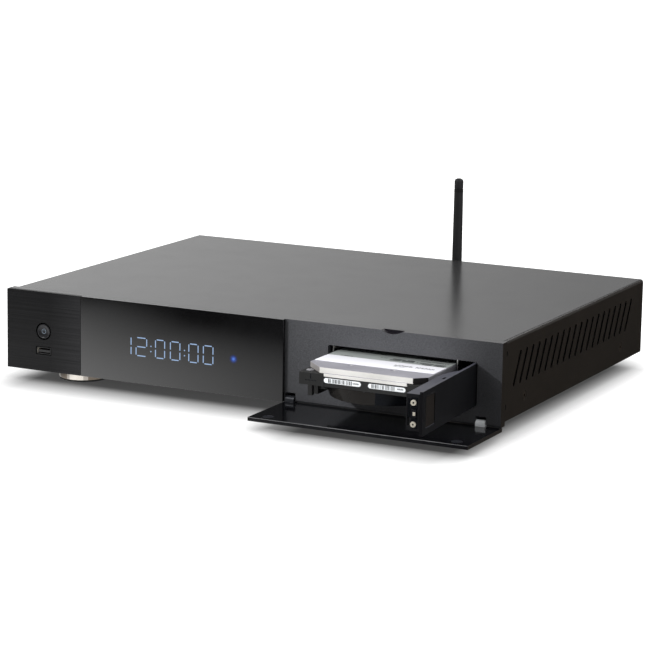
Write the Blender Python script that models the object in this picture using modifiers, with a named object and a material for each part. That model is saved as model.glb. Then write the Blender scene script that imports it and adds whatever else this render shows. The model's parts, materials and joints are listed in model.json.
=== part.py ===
"""Media player with a drop-down flap and a swing-door rack for one 3.5 inch drive.

Everything is built in millimetre sizes times MM. X runs to the viewer's right, Y to the back,
Z up. The pieces are placed with the front plate's lower left front corner at zero, and the
last step moves them all so that the floor is Z = 0 and the whole is centred in X and Y.
"""
import math
import bpy
import bmesh
from mathutils import Matrix, Vector

for _ob in list(bpy.data.objects):
    bpy.data.objects.remove(_ob, do_unlink=True)

MM = 0.001
GAP = 0.3 * MM            # clearance between two pieces that touch in life
OVER = 2.0 * MM           # overrun of a cutter past a face
MERGE = 0.01 * MM         # points closer than this are one
FINE = 24                 # segments of a visible round
SMALL = 10
MID = FINE * 2 // 3
ROUND_ANGLE = 40.0        # faces that meet flatter than this are shaded as one round

# Front: one thick panel with two 3 mm plates on its left, and a flap on its right
WIDTH = 430.0 * MM
HEIGHT = 64.5 * MM
PLATE_T = 3.0 * MM
PANEL_T = 7.7 * MM
BRUSHED_W = 68.8 * MM
RECESS_W = 179.8 * MM     # the flap's recess, from the right end
PANEL_LIFT = 0.4 * MM     # the panel ends this much higher above the open flap
PANEL_CHAMFER = 1.2 * MM
EDGE_R = 0.4 * MM

# Window of the rack, in the panel
WIN_IN = 143.5 * MM       # from the right end to the window's left edge
WIN_W = 123.6 * MM
WIN_Z0 = 14.4 * MM
WIN_H = 33.8 * MM
WIN_R = 1.5 * MM
SCOOP_IN = 90.2 * MM      # from the right end to the finger scoop at the panel's top edge
SCOOP_R = 17.0 * MM
SCOOP_DROP = 2.5 * MM
SCOOP_DEPTH = 5.0 * MM

# Flap and its hinge
FLAP_L = 64.0 * MM
FLAP_T = 3.0 * MM
FLAP_EDGE_R = 0.35 * MM
HINGE_UP = 1.6 * MM       # hinge line above the open flap's top face
HINGE_R = 3.2 * MM
ARM_W = 7.4 * MM
ARM_NOTCH_SIDE = 0.6 * MM
ARM_INSET = 1.3 * MM      # from the recess's end to the left arm
ARM_R_INSET = 12.5 * MM   # from the right end to the right arm
NOTCH_H = 7.3 * MM
PIN_R = 0.8 * MM
PIN_END = 4.0 * MM        # how far a pin goes into the panel each side
DISC_R = 4.4 * MM
DISC_T = 1.2 * MM
DISC_Y = 53.0 * MM        # from the hinge line to a disc's centre
DISC_IN = 12.6 * MM       # from the flap's end to a disc's centre

# Power button and front USB socket
BUTTON_X = 34.3 * MM
BUTTON_Z = 32.5 * MM
BUTTON_HOLE_R = 7.0 * MM
BUTTON_R = 6.1 * MM
BUTTON_T = 4.0 * MM
BUTTON_SINK = 0.2 * MM
BUTTON_STEM_R = 2.0 * MM
BUTTON_TRAVEL = 1.2 * MM
USB_X = 34.3 * MM
USB_Z = 16.7 * MM
USB_HOLE_W = 14.4 * MM
USB_HOLE_H = 6.6 * MM
USB_W = 13.1 * MM
USB_H = 5.4 * MM
USB_WALL = 0.5 * MM
USB_L = 15.0 * MM
USB_SINK = 0.5 * MM
TONGUE_T = 1.9 * MM
TONGUE_SIDE = 0.6 * MM
TONGUE_RISE = 0.9 * MM
USB_R = 0.5 * MM
USB_HOLE_R = 0.7 * MM

# Display behind the dark front glass
DISP_SHARE = 0.42         # of the glass's free width, left of the display
DISP_W = 98.0 * MM
DISP_Z0 = 12.0 * MM
DISP_H = 36.0 * MM
DISP_T = 6.0 * MM
DISP_RIM = 2.0 * MM
LED_OFF = 5.1 * MM        # from the display to the status light
LED_Z = 28.9 * MM
LED_R = 1.4 * MM
LED_FLANGE_R = 2.0 * MM
LED_FLANGE_T = 1.0 * MM

# Case
COVER_T = 1.2 * MM
COVER_IN = 1.7 * MM
COVER_L = 299.7 * MM
COVER_R = 6.0 * MM
COVER_TOP_DROP = 0.2 * MM
COVER_Z0 = 2.8 * MM
SLOTS = 20
SLOT_PITCH = 12.64 * MM
SLOT_Y0 = 30.4 * MM       # foot of the first slot, from the front face
SLOT_LEAN = 12.3 * MM
SLOT_Z0 = 28.4 * MM
SLOT_RISE = 22.6 * MM
SLOT_W = 3.3 * MM
PAN_T = 1.2 * MM
PAN_Z0 = 1.9 * MM
PAN_SIDE_H = 22.0 * MM
PAN_POST_H = 58.0 * MM
PAN_POST_L = 10.0 * MM
REAR_T = 1.2 * MM
REAR_INSET = 0.6 * MM
SCREW_HEAD_R = 3.6 * MM
SCREW_SHANK_R = 1.7 * MM
SCREW_L = 7.0 * MM
SCREW_SMALL_R = 2.5 * MM
SCREW_SMALL_SHANK_R = 1.2 * MM
SIDE_SCREWS = ((52.8 * MM, 15.7 * MM), (260.8 * MM, 15.7 * MM))
EDGE_SCREW_Y = 3.2 * MM   # from the cover's front edge
EDGE_SCREW_Z = (13.7 * MM, 54.1 * MM)

# Feet
FOOT_DROP = 10.0 * MM     # from the panel's bottom to the floor
FOOT_R = 20.0 * MM
FOOT_FOOT_R = 17.6 * MM
FOOT_BAND_Z = 3.6 * MM
PAD_R = 17.0 * MM
PAD_T = 2.0 * MM
PAD_SINK = 0.8 * MM
FOOT_X = 50.0 * MM
FOOT_Y0 = 36.0 * MM
FOOT_Y1 = 275.0 * MM

# Drive, label side up, its plain end to the front
DRIVE_IN = 139.8 * MM     # from the right end to the drive's left side
DRIVE_W = 101.6 * MM
DRIVE_L = 147.0 * MM
DRIVE_H = 26.1 * MM
DRIVE_OUT = 52.0 * MM     # how far it stands out of the front
DRIVE_Z0 = 17.3 * MM
DECK_Z0 = 11.7 * MM       # deck's underside, above the drive's bottom
DECK_Z1 = 21.2 * MM
RAIL_W = 5.0 * MM
RAIL_SET = 22.0 * MM
BELLY_Z0 = 3.8 * MM
BELLY_SET = 24.0 * MM
BOWL_EDGE = 0.6 * MM      # from the drive's front to the round bowl under it
BOWL_BOARD = 3.0 * MM     # from the bowl to the drive's board
BOWL_Z0 = 1.6 * MM
LEG_W = 3.6 * MM
LEG_IN = 2.3 * MM         # from the rail's inner side to the leg
LEG_D = 4.0 * MM
RIB_W = 2.2 * MM
RIB_D = 0.8 * MM
RIB_OFF = 2.8 * MM        # from the drive's middle to the rib's
RIB_Z0 = 10.9 * MM
LID_SIDE = 1.0 * MM
LID_FRONT = 1.6 * MM
LIP_OUT = 1.3 * MM        # how far the lip stands out of the lid's front
LIP_T = 1.8 * MM
LIP_DOWN = 2.2 * MM       # how far it hangs below the lid
LIP_IN_L = 19.2 * MM      # from the lid's sides to the lip
LIP_IN_R = 12.6 * MM
LID_CUT_L = 15.2 * MM
LID_CUT_R = 8.6 * MM
LID_DIMPLE_R = 2.1 * MM
LID_DIMPLE_T = 0.5 * MM
LID_DIMPLE_Y = 16.6 * MM
LID_DIMPLE_X = 17.6 * MM
LABEL_T = 0.25 * MM
LABEL_SET = 21.5 * MM
LABEL_SIDE = 0.9 * MM
LABEL_END = 6.0 * MM
DPCB_L = 60.0 * MM
DPCB_T = 1.4 * MM
DPCB_SIDE = 4.0 * MM
DPCB_END = 1.5 * MM
SATA_W = 42.0 * MM
SATA_H = 4.4 * MM
SATA_L = 6.0 * MM
SATA_X = 12.0 * MM
SATA_SLOT_W = 38.0 * MM
SATA_SLOT_H = 1.6 * MM
DHOLE_R = 1.6 * MM
DHOLE_DEPTH = 3.5 * MM
DHOLES = (28.5 * MM, 70.0 * MM, 130.0 * MM)
DHOLE_Z = 6.35 * MM

# Rack
GUIDE_T = 0.8 * MM
GUIDE_Y0 = 6.6 * MM
GUIDE_LIP = 6.0 * MM
CAGE_T = 1.0 * MM
CAGE_Y0 = 17.6 * MM
CAGE_SIDE = 4.6 * MM      # between the guide and the cage's wall
CAGE_HEAD = 5.0 * MM
CAGE_UNDER = 1.5 * MM
CAGE_FOOT_W = 9.0 * MM
HOME_FRONT = 16.9 * MM    # the drive's front face with the door shut
BACK_T = 1.6 * MM
PLUG_GAP = 1.2 * MM       # drive's end to the backplane socket, when home
PLUG_L = 5.0 * MM
PLUG_W = 41.0 * MM
PLUG_H = 4.0 * MM
PLUG_BLADE_IN = 2.4 * MM  # how far the blade goes into the drive, when home
PLUG_BLADE_W = 36.0 * MM
PLUG_BLADE_H = 1.0 * MM
GROM_R = 3.6 * MM

# Rack door, drawn straight out to the front and then turned by DOOR_LEAN
DOOR_IN = 22.7 * MM       # from the right end to the hinge line
DOOR_Y = 5.6 * MM
DOOR_LEAN = 3.0           # degrees past square
DOOR_L = 111.6 * MM
DOOR_PLATE_T = 2.2 * MM
DOOR_OUT = 2.0 * MM       # hinge line to the outer face
DOOR_BARREL_R = 2.0 * MM
DOOR_Z0 = 15.1 * MM
DOOR_H = 32.3 * MM
DOOR_BODY_T = 10.2 * MM
DOOR_BODY_Z0 = 18.6 * MM
DOOR_BODY_H = 26.8 * MM
DOOR_THICK_AT = 49.0 * MM
DOOR_THIN_AT = 22.0 * MM
DOOR_THIN_T = 2.2 * MM
DOOR_TOE_AT = 13.0 * MM
DOOR_END_SET = 0.6 * MM
DOOR_PIN_R = 0.8 * MM
DOOR_PIN_END = 3.0 * MM
DOOR_RECESS = 1.4 * MM
PADDLE_IN = 6.8 * MM      # from the free end
PADDLE_L = 17.0 * MM
PADDLE_H = 22.0 * MM
PADDLE_T = 2.6 * MM
PADDLE_SINK = 0.3 * MM
PADDLE_TRAVEL = 1.4 * MM
PADDLE_R = 1.0 * MM
TONGUE_W = 4.6 * MM
TONGUE_H = 6.0 * MM
TONGUE_L = 11.0 * MM
TONGUE_OUT = 1.6 * MM
TONGUE_TRAVEL = 2.1 * MM
TONGUE_DEPTH = 6.9 * MM   # from the outer face to the tongue's centre
DSLOT_W = 1.6 * MM
DSLOT_H = 16.0 * MM
DSLOT_DEEP = 1.2 * MM
DSLOT_AT = 10.9 * MM
DSLOT_UP = 7.4 * MM
ENDSCREW_R = 2.2 * MM
ENDSCREW_T = 0.9 * MM
ENDSCREW_SHANK_R = 0.9 * MM
ENDSCREW_L = 8.0 * MM
ENDSCREW_UP = 7.9 * MM
OVAL_L = 6.0 * MM
OVAL_W = 2.6 * MM
OVAL_DEEP = 1.0 * MM
OVAL_AT = 50.0 * MM

# Boards
BOARD_T = 1.6 * MM
STANDOFF_R = 2.6 * MM
STANDOFF_H = 4.4 * MM
MAIN_X0 = 22.0 * MM
MAIN_OFF = 31.0 * MM      # from the board to the drive's left side
MAIN_L = 170.0 * MM
MAIN_END = 1.4 * MM       # from the board's edge to the rear panel
FBOARD_X0 = 18.0 * MM
FBOARD_END = 22.9 * MM    # from the status light to the board's end
FBOARD_Z0 = 8.0 * MM
FBOARD_H = 48.0 * MM
FBOARD_BACK = 7.0 * MM
SWITCH_W = 6.0 * MM
SINK_X = 105.0 * MM
SINK_Y = 205.0 * MM
SINK_W = 44.0 * MM
SINK_BASE = 3.0 * MM
SINK_H = 20.0 * MM
SINK_FINS = 9
FIN_T = 1.2 * MM
CHIP_W = 27.0 * MM
CHIP_T = 1.6 * MM
PSU_IN = 134.0 * MM       # from the right end to the board's left side
PSU_W = 112.0 * MM
PSU_L = 62.0 * MM
PSU_END = 30.0 * MM
CORE_W = 30.0 * MM
CORE_L = 26.0 * MM
CORE_H = 22.0 * MM

# Rear sockets
HDMI_W = 15.2 * MM
HDMI_H = 6.2 * MM
HDMI_L = 12.0 * MM
HDMI_SHARE = 0.433        # places along the rear, as shares of the way to the antenna
HDMI_OUT = 1.0 * MM
HDMI_LOW_W = 10.6 * MM
HDMI_STEP = 2.2 * MM
RUSB_SHARE = 0.569
RUSB_PITCH = 8.2 * MM
LAN_SHARE = 0.673
LAN_W = 16.0 * MM
LAN_H = 13.6 * MM
LAN_L = 20.0 * MM
LAN_OUT = 0.8 * MM
LAN_HOLE_W = 12.0 * MM
LAN_HOLE_H = 8.0 * MM
LAN_DEEP = 14.0 * MM
LAN_SILL = 2.4 * MM
JACK_R = 4.2 * MM
JACK_BORE_R = 1.7 * MM
JACK_L = 9.0 * MM
JACK_PITCH = 14.0 * MM
JACK_SHARE = 0.801
JACK_COLS = 3
JACK_Z = (17.0 * MM, 31.0 * MM)
JACK_BLOCK_L = 10.0 * MM
OPT_SHARE = 0.3
OPT_W = 10.0 * MM
OPT_H = 10.0 * MM
OPT_HOLE = 5.6 * MM
OPT_DEEP = 4.4 * MM
OPT_OUT = 0.8 * MM
OPT_L = 13.0 * MM
IEC_IN = 78.0 * MM
IEC_Z = 33.0 * MM
IEC_W = 27.2 * MM
IEC_H = 19.6 * MM
IEC_L = 18.0 * MM
IEC_FLANGE_W = 47.0 * MM
IEC_FLANGE_H = 22.4 * MM
IEC_FLANGE_T = 2.4 * MM
IEC_HOLE_W = 24.2 * MM
IEC_HOLE_H = 16.4 * MM
IEC_DEEP = 15.0 * MM
IEC_CUT = 4.0 * MM
BLADE_W = 2.0 * MM
BLADE_H = 4.0 * MM
BLADE_L = 13.0 * MM
BLADE_X = 7.0 * MM
BLADE_UP = 2.6 * MM
IEC_SCREW_X = 20.0 * MM
RSCREW_SHANK_R = 1.3 * MM
RSCREW_IN = 14.0 * MM
RSCREW_Z = (8.5 * MM, 57.0 * MM)

# Antenna
ANT_IN = 180.4 * MM       # from the right end to the antenna's axis
ANT_Z = 40.0 * MM
ANT_NUT_R = 4.6 * MM
ANT_NUT_T = 2.4 * MM
ANT_STUD_R = 3.0 * MM
ANT_STUD_L = 6.0 * MM
ANT_STUD_IN = 8.0 * MM
ANT_COLLAR_R = 4.9 * MM
ANT_COLLAR_L = 10.0 * MM
ANT_BACK = 20.2 * MM      # rear panel's outer face to the rod's axis
ANT_CHEEK_T = 2.1 * MM
ANT_CHEEK_R = 4.4 * MM
ANT_TONGUE_T = 4.2 * MM
ANT_ROD_R0 = 4.45 * MM
ANT_ROD_R1 = 3.95 * MM
ANT_TOP_Z = 133.2 * MM
ANT_ROD_START = 6.0 * MM
ANT_GROOVE_DOWN = 9.0 * MM
ANT_GROOVE_W = 0.9 * MM
ANT_GROOVE_D = 0.35 * MM
ANT_PIVOT_R = 1.1 * MM
ANT_PIVOT_HEAD_R = 1.9 * MM

# Worked-out places
RECESS_X = WIDTH - RECESS_W
WIN_X0 = WIDTH - WIN_IN
SCOOP_X = WIDTH - SCOOP_IN
DRIVE_X0 = WIDTH - DRIVE_IN
DOOR_X = WIDTH - DOOR_IN
PSU_X0 = WIDTH - PSU_IN
IEC_X = WIDTH - IEC_IN
ANT_X = WIDTH - ANT_IN
DISP_X0 = BRUSHED_W + GAP + DISP_SHARE * (RECESS_X - BRUSHED_W - GAP - DISP_W)
LED_X = DISP_X0 + DISP_W + LED_OFF
FBOARD_W = LED_X + FBOARD_END - FBOARD_X0
MAIN_W = DRIVE_X0 - MAIN_OFF - MAIN_X0
HDMI_X = (HDMI_SHARE * ANT_X,)
RUSB_X = RUSB_SHARE * ANT_X
LAN_X = LAN_SHARE * ANT_X
JACK_X0 = JACK_SHARE * ANT_X
OPT_X = OPT_SHARE * ANT_X
BOWL_R = (DRIVE_L - DPCB_L - BOWL_EDGE - BOWL_BOARD) / 2
BOWL_Y = BOWL_R + BOWL_EDGE
RSCREWS = [(x, z) for x in (RSCREW_IN, WIDTH - RSCREW_IN) for z in RSCREW_Z] + [(WIDTH / 2, RSCREW_Z[1])]
PANEL_Y0 = PLATE_T + GAP
PANEL_Y1 = PANEL_Y0 + PANEL_T
COVER_Y0 = PANEL_Y1 + GAP
COVER_Y1 = COVER_Y0 + COVER_L
COVER_X0 = COVER_IN
COVER_X1 = WIDTH - COVER_IN
COVER_Z1 = HEIGHT - COVER_TOP_DROP
PAN_X0 = COVER_X0 + COVER_T + GAP
PAN_X1 = COVER_X1 - COVER_T - GAP
REAR_Y1 = COVER_Y1 - REAR_INSET
REAR_Y0 = REAR_Y1 - REAR_T
PAN_Y1 = REAR_Y0 - GAP
PAN_TOP = PAN_Z0 + PAN_T
HINGE_Z = HINGE_UP
HINGE_Y = PLATE_T + HINGE_UP
FLAP_Y1 = HINGE_Y + HINGE_UP
FLAP_Y0 = FLAP_Y1 - FLAP_L
FLAP_X0 = RECESS_X + GAP
DRIVE_Y0 = -DRIVE_OUT
DRIVE_X1 = DRIVE_X0 + DRIVE_W
DRIVE_Y1 = DRIVE_Y0 + DRIVE_L
DRIVE_Z1 = DRIVE_Z0 + DRIVE_H
TRAVEL = DRIVE_OUT + HOME_FRONT
BACK_Y0 = DRIVE_Y1 + TRAVEL + PLUG_GAP + PLUG_L + GAP
BOARD_Z0 = PAN_TOP + STANDOFF_H + GAP + GAP
BOARD_Z1 = BOARD_Z0 + BOARD_T
ANT_Y = REAR_Y1 + ANT_BACK

CAD = bpy.data.collections.new("media_player")
CUT = bpy.data.collections.new("cutters")
bpy.context.scene.collection.children.link(CAD)
bpy.context.scene.collection.children.link(CUT)
AXES = {"x": Matrix(((0, 0, 1, 0), (1, 0, 0, 0), (0, 1, 0, 0), (0, 0, 0, 1))),
        "y": Matrix(((1, 0, 0, 0), (0, 0, 1, 0), (0, 1, 0, 0), (0, 0, 0, 1))),
        "z": Matrix.Identity(4)}
CUTS = {}                 # each cutter's object


def link(ob, cutter):
    (CUT if cutter else CAD).objects.link(ob)
    if cutter:
        ob.hide_render = True
        ob.display_type = "WIRE"
    return ob


def colour(ob, rgb, metal=0.0, rough=0.5):
    mat = bpy.data.materials.new(ob.name)
    mat.use_nodes = True
    shader = mat.node_tree.nodes["Principled BSDF"]
    shader.inputs["Base Color"].default_value = (rgb[0], rgb[1], rgb[2], 1.0)
    shader.inputs["Metallic"].default_value = metal
    shader.inputs["Roughness"].default_value = rough
    ob.data.materials.append(mat)
    return ob


def rect(a0, a1, b0, b1):
    """A box's sides."""
    return ("box", a0, a1, b0, b1)


def disc(ca, cb, r, n):
    """A cylinder's centre, radius and number of sides."""
    return ("round", ca, cb, r, n)


def flat(outline, thick):
    """Mesh of a flat outline of that thickness, from a filled 2D curve."""
    curve = bpy.data.curves.new("outline", "CURVE")
    curve.dimensions = "2D"
    curve.fill_mode = "BOTH"
    curve.extrude = thick / 2
    spline = curve.splines.new("POLY")
    spline.points.add(len(outline) - 1)
    for point, (a, b) in zip(spline.points, outline):
        point.co = (a, b, 0, 1)
    spline.use_cyclic_u = True
    ob = bpy.data.objects.new("outline", curve)
    CAD.objects.link(ob)
    graph = bpy.context.evaluated_depsgraph_get()
    mesh = bpy.data.meshes.new_from_object(ob.evaluated_get(graph))
    bpy.data.objects.remove(ob)
    return mesh


def prism(bm, outline, axis, lo, hi):
    """A box, a cylinder or a flat outline that runs from lo to hi along the axis."""
    middle = (lo + hi) / 2
    if outline[0] == "box":
        _, a0, a1, b0, b1 = outline
        put = Matrix.Translation(((a0 + a1) / 2, (b0 + b1) / 2, middle))
        bmesh.ops.create_cube(bm, size=1, matrix=AXES[axis] @ put @ Matrix.Diagonal((a1 - a0, b1 - b0, hi - lo, 1)))
    elif outline[0] == "round":
        _, ca, cb, r, n = outline
        bmesh.ops.create_cone(bm, cap_ends=True, segments=n, radius1=r, radius2=r, depth=hi - lo,
                              matrix=AXES[axis] @ Matrix.Translation((ca, cb, middle)))
    else:
        mesh = flat(outline, hi - lo)
        mesh.transform(AXES[axis] @ Matrix.Translation((0, 0, middle)))
        old = set(bm.verts)
        bm.from_mesh(mesh)
        bmesh.ops.remove_doubles(bm, verts=[v for v in bm.verts if v not in old], dist=MERGE)


def arc(ca, cb, r, start, end, n):
    return [(ca + r * math.cos(math.radians(start + (end - start) * i / n)),
             cb + r * math.sin(math.radians(start + (end - start) * i / n))) for i in range(n + 1)]


def rrect(a0, a1, b0, b1, r, n=3):
    return (arc(a0 + r, b0 + r, r, 180, 270, n) + arc(a1 - r, b0 + r, r, 270, 360, n)
            + arc(a1 - r, b1 - r, r, 0, 90, n) + arc(a0 + r, b1 - r, r, 90, 180, n))


def face_out(bm):
    """Turn every closed piece's faces outward, by the sign of its volume."""
    bmesh.ops.recalc_face_normals(bm, faces=bm.faces)
    left = set(bm.faces)
    while left:
        stack = [left.pop()]
        island = list(stack)
        while stack:
            for edge in stack.pop().edges:
                for near in edge.link_faces:
                    if near in left:
                        left.remove(near)
                        stack.append(near)
                        island.append(near)
        volume = 0.0
        for face in island:
            a = face.verts[0].co
            for b, c in zip(face.verts[1:-1], face.verts[2:]):
                volume += a.dot(b.co.cross(c.co))
        if volume < 0:
            bmesh.ops.reverse_faces(bm, faces=island)


def solid(name, pieces, cutter=False):
    """One object from separate prisms: (outline, axis, lo, hi)."""
    bm = bmesh.new()
    for outline, axis, lo, hi in pieces:
        prism(bm, outline, axis, lo, hi)
    face_out(bm)
    mesh = bpy.data.meshes.new(name)
    bm.to_mesh(mesh)
    bm.free()
    return smooth(link(bpy.data.objects.new(name, mesh), cutter))


def smooth(ob):
    ob.data.shade_smooth()
    ob.data.set_sharp_from_angle(angle=math.radians(ROUND_ANGLE))
    return ob


def lathe(name, stations, origin, axis, n, cutter=False):
    """Profile of (radius, height) pairs turned round an axis by a Screw modifier."""
    bm = bmesh.new()
    pts = [bm.verts.new((r, 0, h)) for r, h in stations]
    for one, two in zip(pts[:-1], pts[1:]):
        bm.edges.new((one, two))
    mesh = bpy.data.meshes.new(name)
    bm.to_mesh(mesh)
    bm.free()
    ob = link(bpy.data.objects.new(name, mesh), cutter)
    mod = ob.modifiers.new("turn", "SCREW")
    mod.axis = "Z"
    mod.steps = mod.render_steps = n
    mod.use_merge_vertices = True
    mod.merge_threshold = MERGE
    mod.use_normal_calculate = True
    turn = {"z": Matrix.Identity(4), "y": Matrix.Rotation(math.radians(-90), 4, "X"),
            "x": Matrix.Rotation(math.radians(90), 4, "Y")}[axis]
    ob.matrix_world = Matrix.Translation(origin) @ turn
    bpy.context.view_layer.update()
    bake(ob)
    return ob


def bake(ob):
    """Turn an object's modifiers and place into plain mesh, with outward faces."""
    graph = bpy.context.evaluated_depsgraph_get()
    mesh = bpy.data.meshes.new_from_object(ob.evaluated_get(graph))
    mesh.transform(ob.matrix_world)
    ob.modifiers.clear()
    ob.matrix_world = Matrix.Identity(4)
    ob.data = mesh
    bm = bmesh.new()
    bm.from_mesh(mesh)
    bmesh.ops.remove_doubles(bm, verts=bm.verts, dist=MERGE)
    face_out(bm)
    bm.to_mesh(mesh)
    bm.free()
    smooth(ob)


def boolean(ob, other, how):
    mod = ob.modifiers.new(how.lower(), "BOOLEAN")
    mod.operation = how
    mod.solver = "EXACT"
    mod.object = other
    CUTS[other.name] = ob.name
    return ob


def cut(ob, pieces):
    return boolean(ob, solid(ob.name + "_cut", pieces, cutter=True), "DIFFERENCE")


def add(ob, pieces, tag="_add"):
    return boolean(ob, solid(ob.name + tag, pieces, cutter=True), "UNION")


def soften(ob, width, segments=1, angle=50):
    mod = ob.modifiers.new("soften", "BEVEL")
    mod.width = width
    mod.segments = segments
    mod.limit_method = "ANGLE"
    mod.angle_limit = math.radians(angle)
    return ob


# The front
panel = solid("front_panel", [(rect(0, WIDTH, 0, HEIGHT), "y", PANEL_Y0, PANEL_Y1)])
arm_l0 = RECESS_X + ARM_INSET
arm_r1 = WIDTH - ARM_R_INSET
arms = ((arm_l0, arm_l0 + ARM_W), (arm_r1 - ARM_W, arm_r1))
scoop_z = HEIGHT - SCOOP_DROP + SCOOP_R
under = [(PANEL_Y0 - OVER, -OVER), (PANEL_Y1 + OVER, -OVER), (PANEL_Y1 + OVER, PANEL_LIFT),
         (PANEL_Y0 + PANEL_CHAMFER, PANEL_LIFT), (PANEL_Y0, PANEL_LIFT + PANEL_CHAMFER),
         (PANEL_Y0 - OVER, PANEL_LIFT + PANEL_CHAMFER)]
cut(panel, [
    (under, "x", RECESS_X, WIDTH + OVER)])
holes = [
    (rrect(WIN_X0, WIN_X0 + WIN_W, WIN_Z0, WIN_Z0 + WIN_H, WIN_R), "y", PANEL_Y0 - OVER, PANEL_Y1 + OVER),
    (disc(SCOOP_X, scoop_z, SCOOP_R, 4 * FINE), "y", PANEL_Y0 - OVER, PANEL_Y0 + SCOOP_DEPTH),
    (disc(BUTTON_X, BUTTON_Z, BUTTON_HOLE_R, FINE), "y", PANEL_Y0 - OVER, PANEL_Y1 + OVER),
    (rrect(USB_X - USB_HOLE_W / 2, USB_X + USB_HOLE_W / 2, USB_Z - USB_HOLE_H / 2,
           USB_Z + USB_HOLE_H / 2, USB_HOLE_R), "y", PANEL_Y0 - OVER, PANEL_Y1 + OVER),
    (rect(DISP_X0, DISP_X0 + DISP_W, DISP_Z0, DISP_Z0 + DISP_H), "y", PANEL_Y0 - OVER, PANEL_Y1 + OVER),
    (disc(LED_X, LED_Z, LED_R + GAP, SMALL), "y", PANEL_Y0 - OVER, PANEL_Y1 + OVER)]
for a0, a1 in arms:
    holes.append((rect(a0 - ARM_NOTCH_SIDE, a1 + ARM_NOTCH_SIDE, -OVER, NOTCH_H), "y",
                  PANEL_Y0 - OVER, PANEL_Y1 + OVER))
boolean(panel, solid("front_panel_holes", holes, cutter=True), "DIFFERENCE")
pin_bores = [(disc(HINGE_Y, HINGE_Z, PIN_R + GAP / 2, SMALL), "x",
              a0 - ARM_NOTCH_SIDE - PIN_END - GAP, a1 + ARM_NOTCH_SIDE + PIN_END + GAP) for a0, a1 in arms]
boolean(panel, solid("front_panel_pins", pin_bores, cutter=True), "DIFFERENCE")
colour(panel, (0.065, 0.066, 0.07), 0.6, 0.45)

plate = solid("brushed_plate", [(rrect(0, BRUSHED_W, 0, HEIGHT, EDGE_R, 2), "y", 0, PLATE_T)])
cut(plate, [
    (disc(BUTTON_X, BUTTON_Z, BUTTON_HOLE_R, 2 * FINE), "y", -OVER, PLATE_T + OVER),
    (rrect(USB_X - USB_HOLE_W / 2, USB_X + USB_HOLE_W / 2, USB_Z - USB_HOLE_H / 2,
           USB_Z + USB_HOLE_H / 2, USB_HOLE_R), "y", -OVER, PLATE_T + OVER)])
colour(plate, (0.02, 0.02, 0.022), 0.8, 0.35)

colour(solid("front_glass", [(rect(BRUSHED_W + GAP, RECESS_X - GAP / 2, 0, HEIGHT), "y", 0, PLATE_T)]),
       (0.02, 0.02, 0.022), 0.0, 0.06)

button = solid("power_button", [
    (disc(BUTTON_X, BUTTON_Z, BUTTON_R, 2 * FINE), "y", BUTTON_SINK, BUTTON_SINK + BUTTON_T)])
board_y0 = PANEL_Y1 + FBOARD_BACK
switch_y0 = board_y0 - GAP - SWITCH_W / 2
add(button, [(disc(BUTTON_X, BUTTON_Z, BUTTON_STEM_R, SMALL), "y",
              BUTTON_SINK + BUTTON_T / 2, switch_y0 - GAP - BUTTON_TRAVEL)])
soften(button, EDGE_R, 2)
colour(button, (0.03, 0.03, 0.033), 0.5, 0.3)
colour(solid("power_switch", [(rect(BUTTON_X - SWITCH_W / 2, BUTTON_X + SWITCH_W / 2, BUTTON_Z - SWITCH_W / 2,
                                    BUTTON_Z + SWITCH_W / 2), "y", switch_y0, board_y0 - GAP)]),
       (0.02, 0.02, 0.02))


def usb_shell(name, cx, cz, y_mouth, length, facing):
    """Metal shell with its tongue, mouth at y_mouth; facing is -1 to the front, 1 to the rear."""
    y_back = y_mouth - facing * length
    lo, hi = min(y_mouth, y_back), max(y_mouth, y_back)
    ob = solid(name, [(rrect(cx - USB_W / 2, cx + USB_W / 2, cz - USB_H / 2, cz + USB_H / 2, USB_R, 2),
                       "y", lo, hi)])
    deep = (lo - OVER, hi - USB_WALL) if facing < 0 else (lo + USB_WALL, hi + OVER)
    cut(ob, [(rect(cx - USB_W / 2 + USB_WALL, cx + USB_W / 2 - USB_WALL,
                   cz - USB_H / 2 + USB_WALL, cz + USB_H / 2 - USB_WALL), "y", deep[0], deep[1])])
    t0 = cz - USB_H / 2 + USB_WALL + TONGUE_RISE
    inner = hi - USB_WALL / 2 if facing < 0 else lo + USB_WALL / 2
    outer = y_mouth - facing * USB_WALL
    add(ob, [(rect(cx - USB_W / 2 + USB_WALL + TONGUE_SIDE, cx + USB_W / 2 - USB_WALL - TONGUE_SIDE,
                   t0, t0 + TONGUE_T), "y", min(outer, inner), max(outer, inner))], "_tongue")
    return colour(ob, (0.6, 0.6, 0.6), 0.9, 0.3)


usb_shell("front_usb", USB_X, USB_Z, USB_SINK, USB_L, -1)

disp = solid("display_module", [
    (rect(DISP_X0 + GAP, DISP_X0 + DISP_W - GAP, DISP_Z0 + GAP, DISP_Z0 + DISP_H - GAP), "y",
     PANEL_Y0, PANEL_Y0 + DISP_T)])
cut(disp, [(rect(DISP_X0 + DISP_RIM, DISP_X0 + DISP_W - DISP_RIM, DISP_Z0 + DISP_RIM,
                 DISP_Z0 + DISP_H - DISP_RIM), "y", PANEL_Y0 - OVER, PANEL_Y0 + GAP)])
colour(disp, (0.015, 0.02, 0.03), 0.0, 0.2)
led = solid("status_led", [(disc(LED_X, LED_Z, LED_R, SMALL), "y", PANEL_Y0, board_y0 - GAP)])
add(led, [(disc(LED_X, LED_Z, LED_FLANGE_R, SMALL), "y", board_y0 - GAP - LED_FLANGE_T, board_y0 - GAP)])
colour(led, (0.1, 0.25, 0.8), 0.0, 0.2)
fboard = solid("front_board", [(rect(FBOARD_X0, FBOARD_X0 + FBOARD_W, FBOARD_Z0, FBOARD_Z0 + FBOARD_H), "y",
                                board_y0, board_y0 + BOARD_T)])
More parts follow.
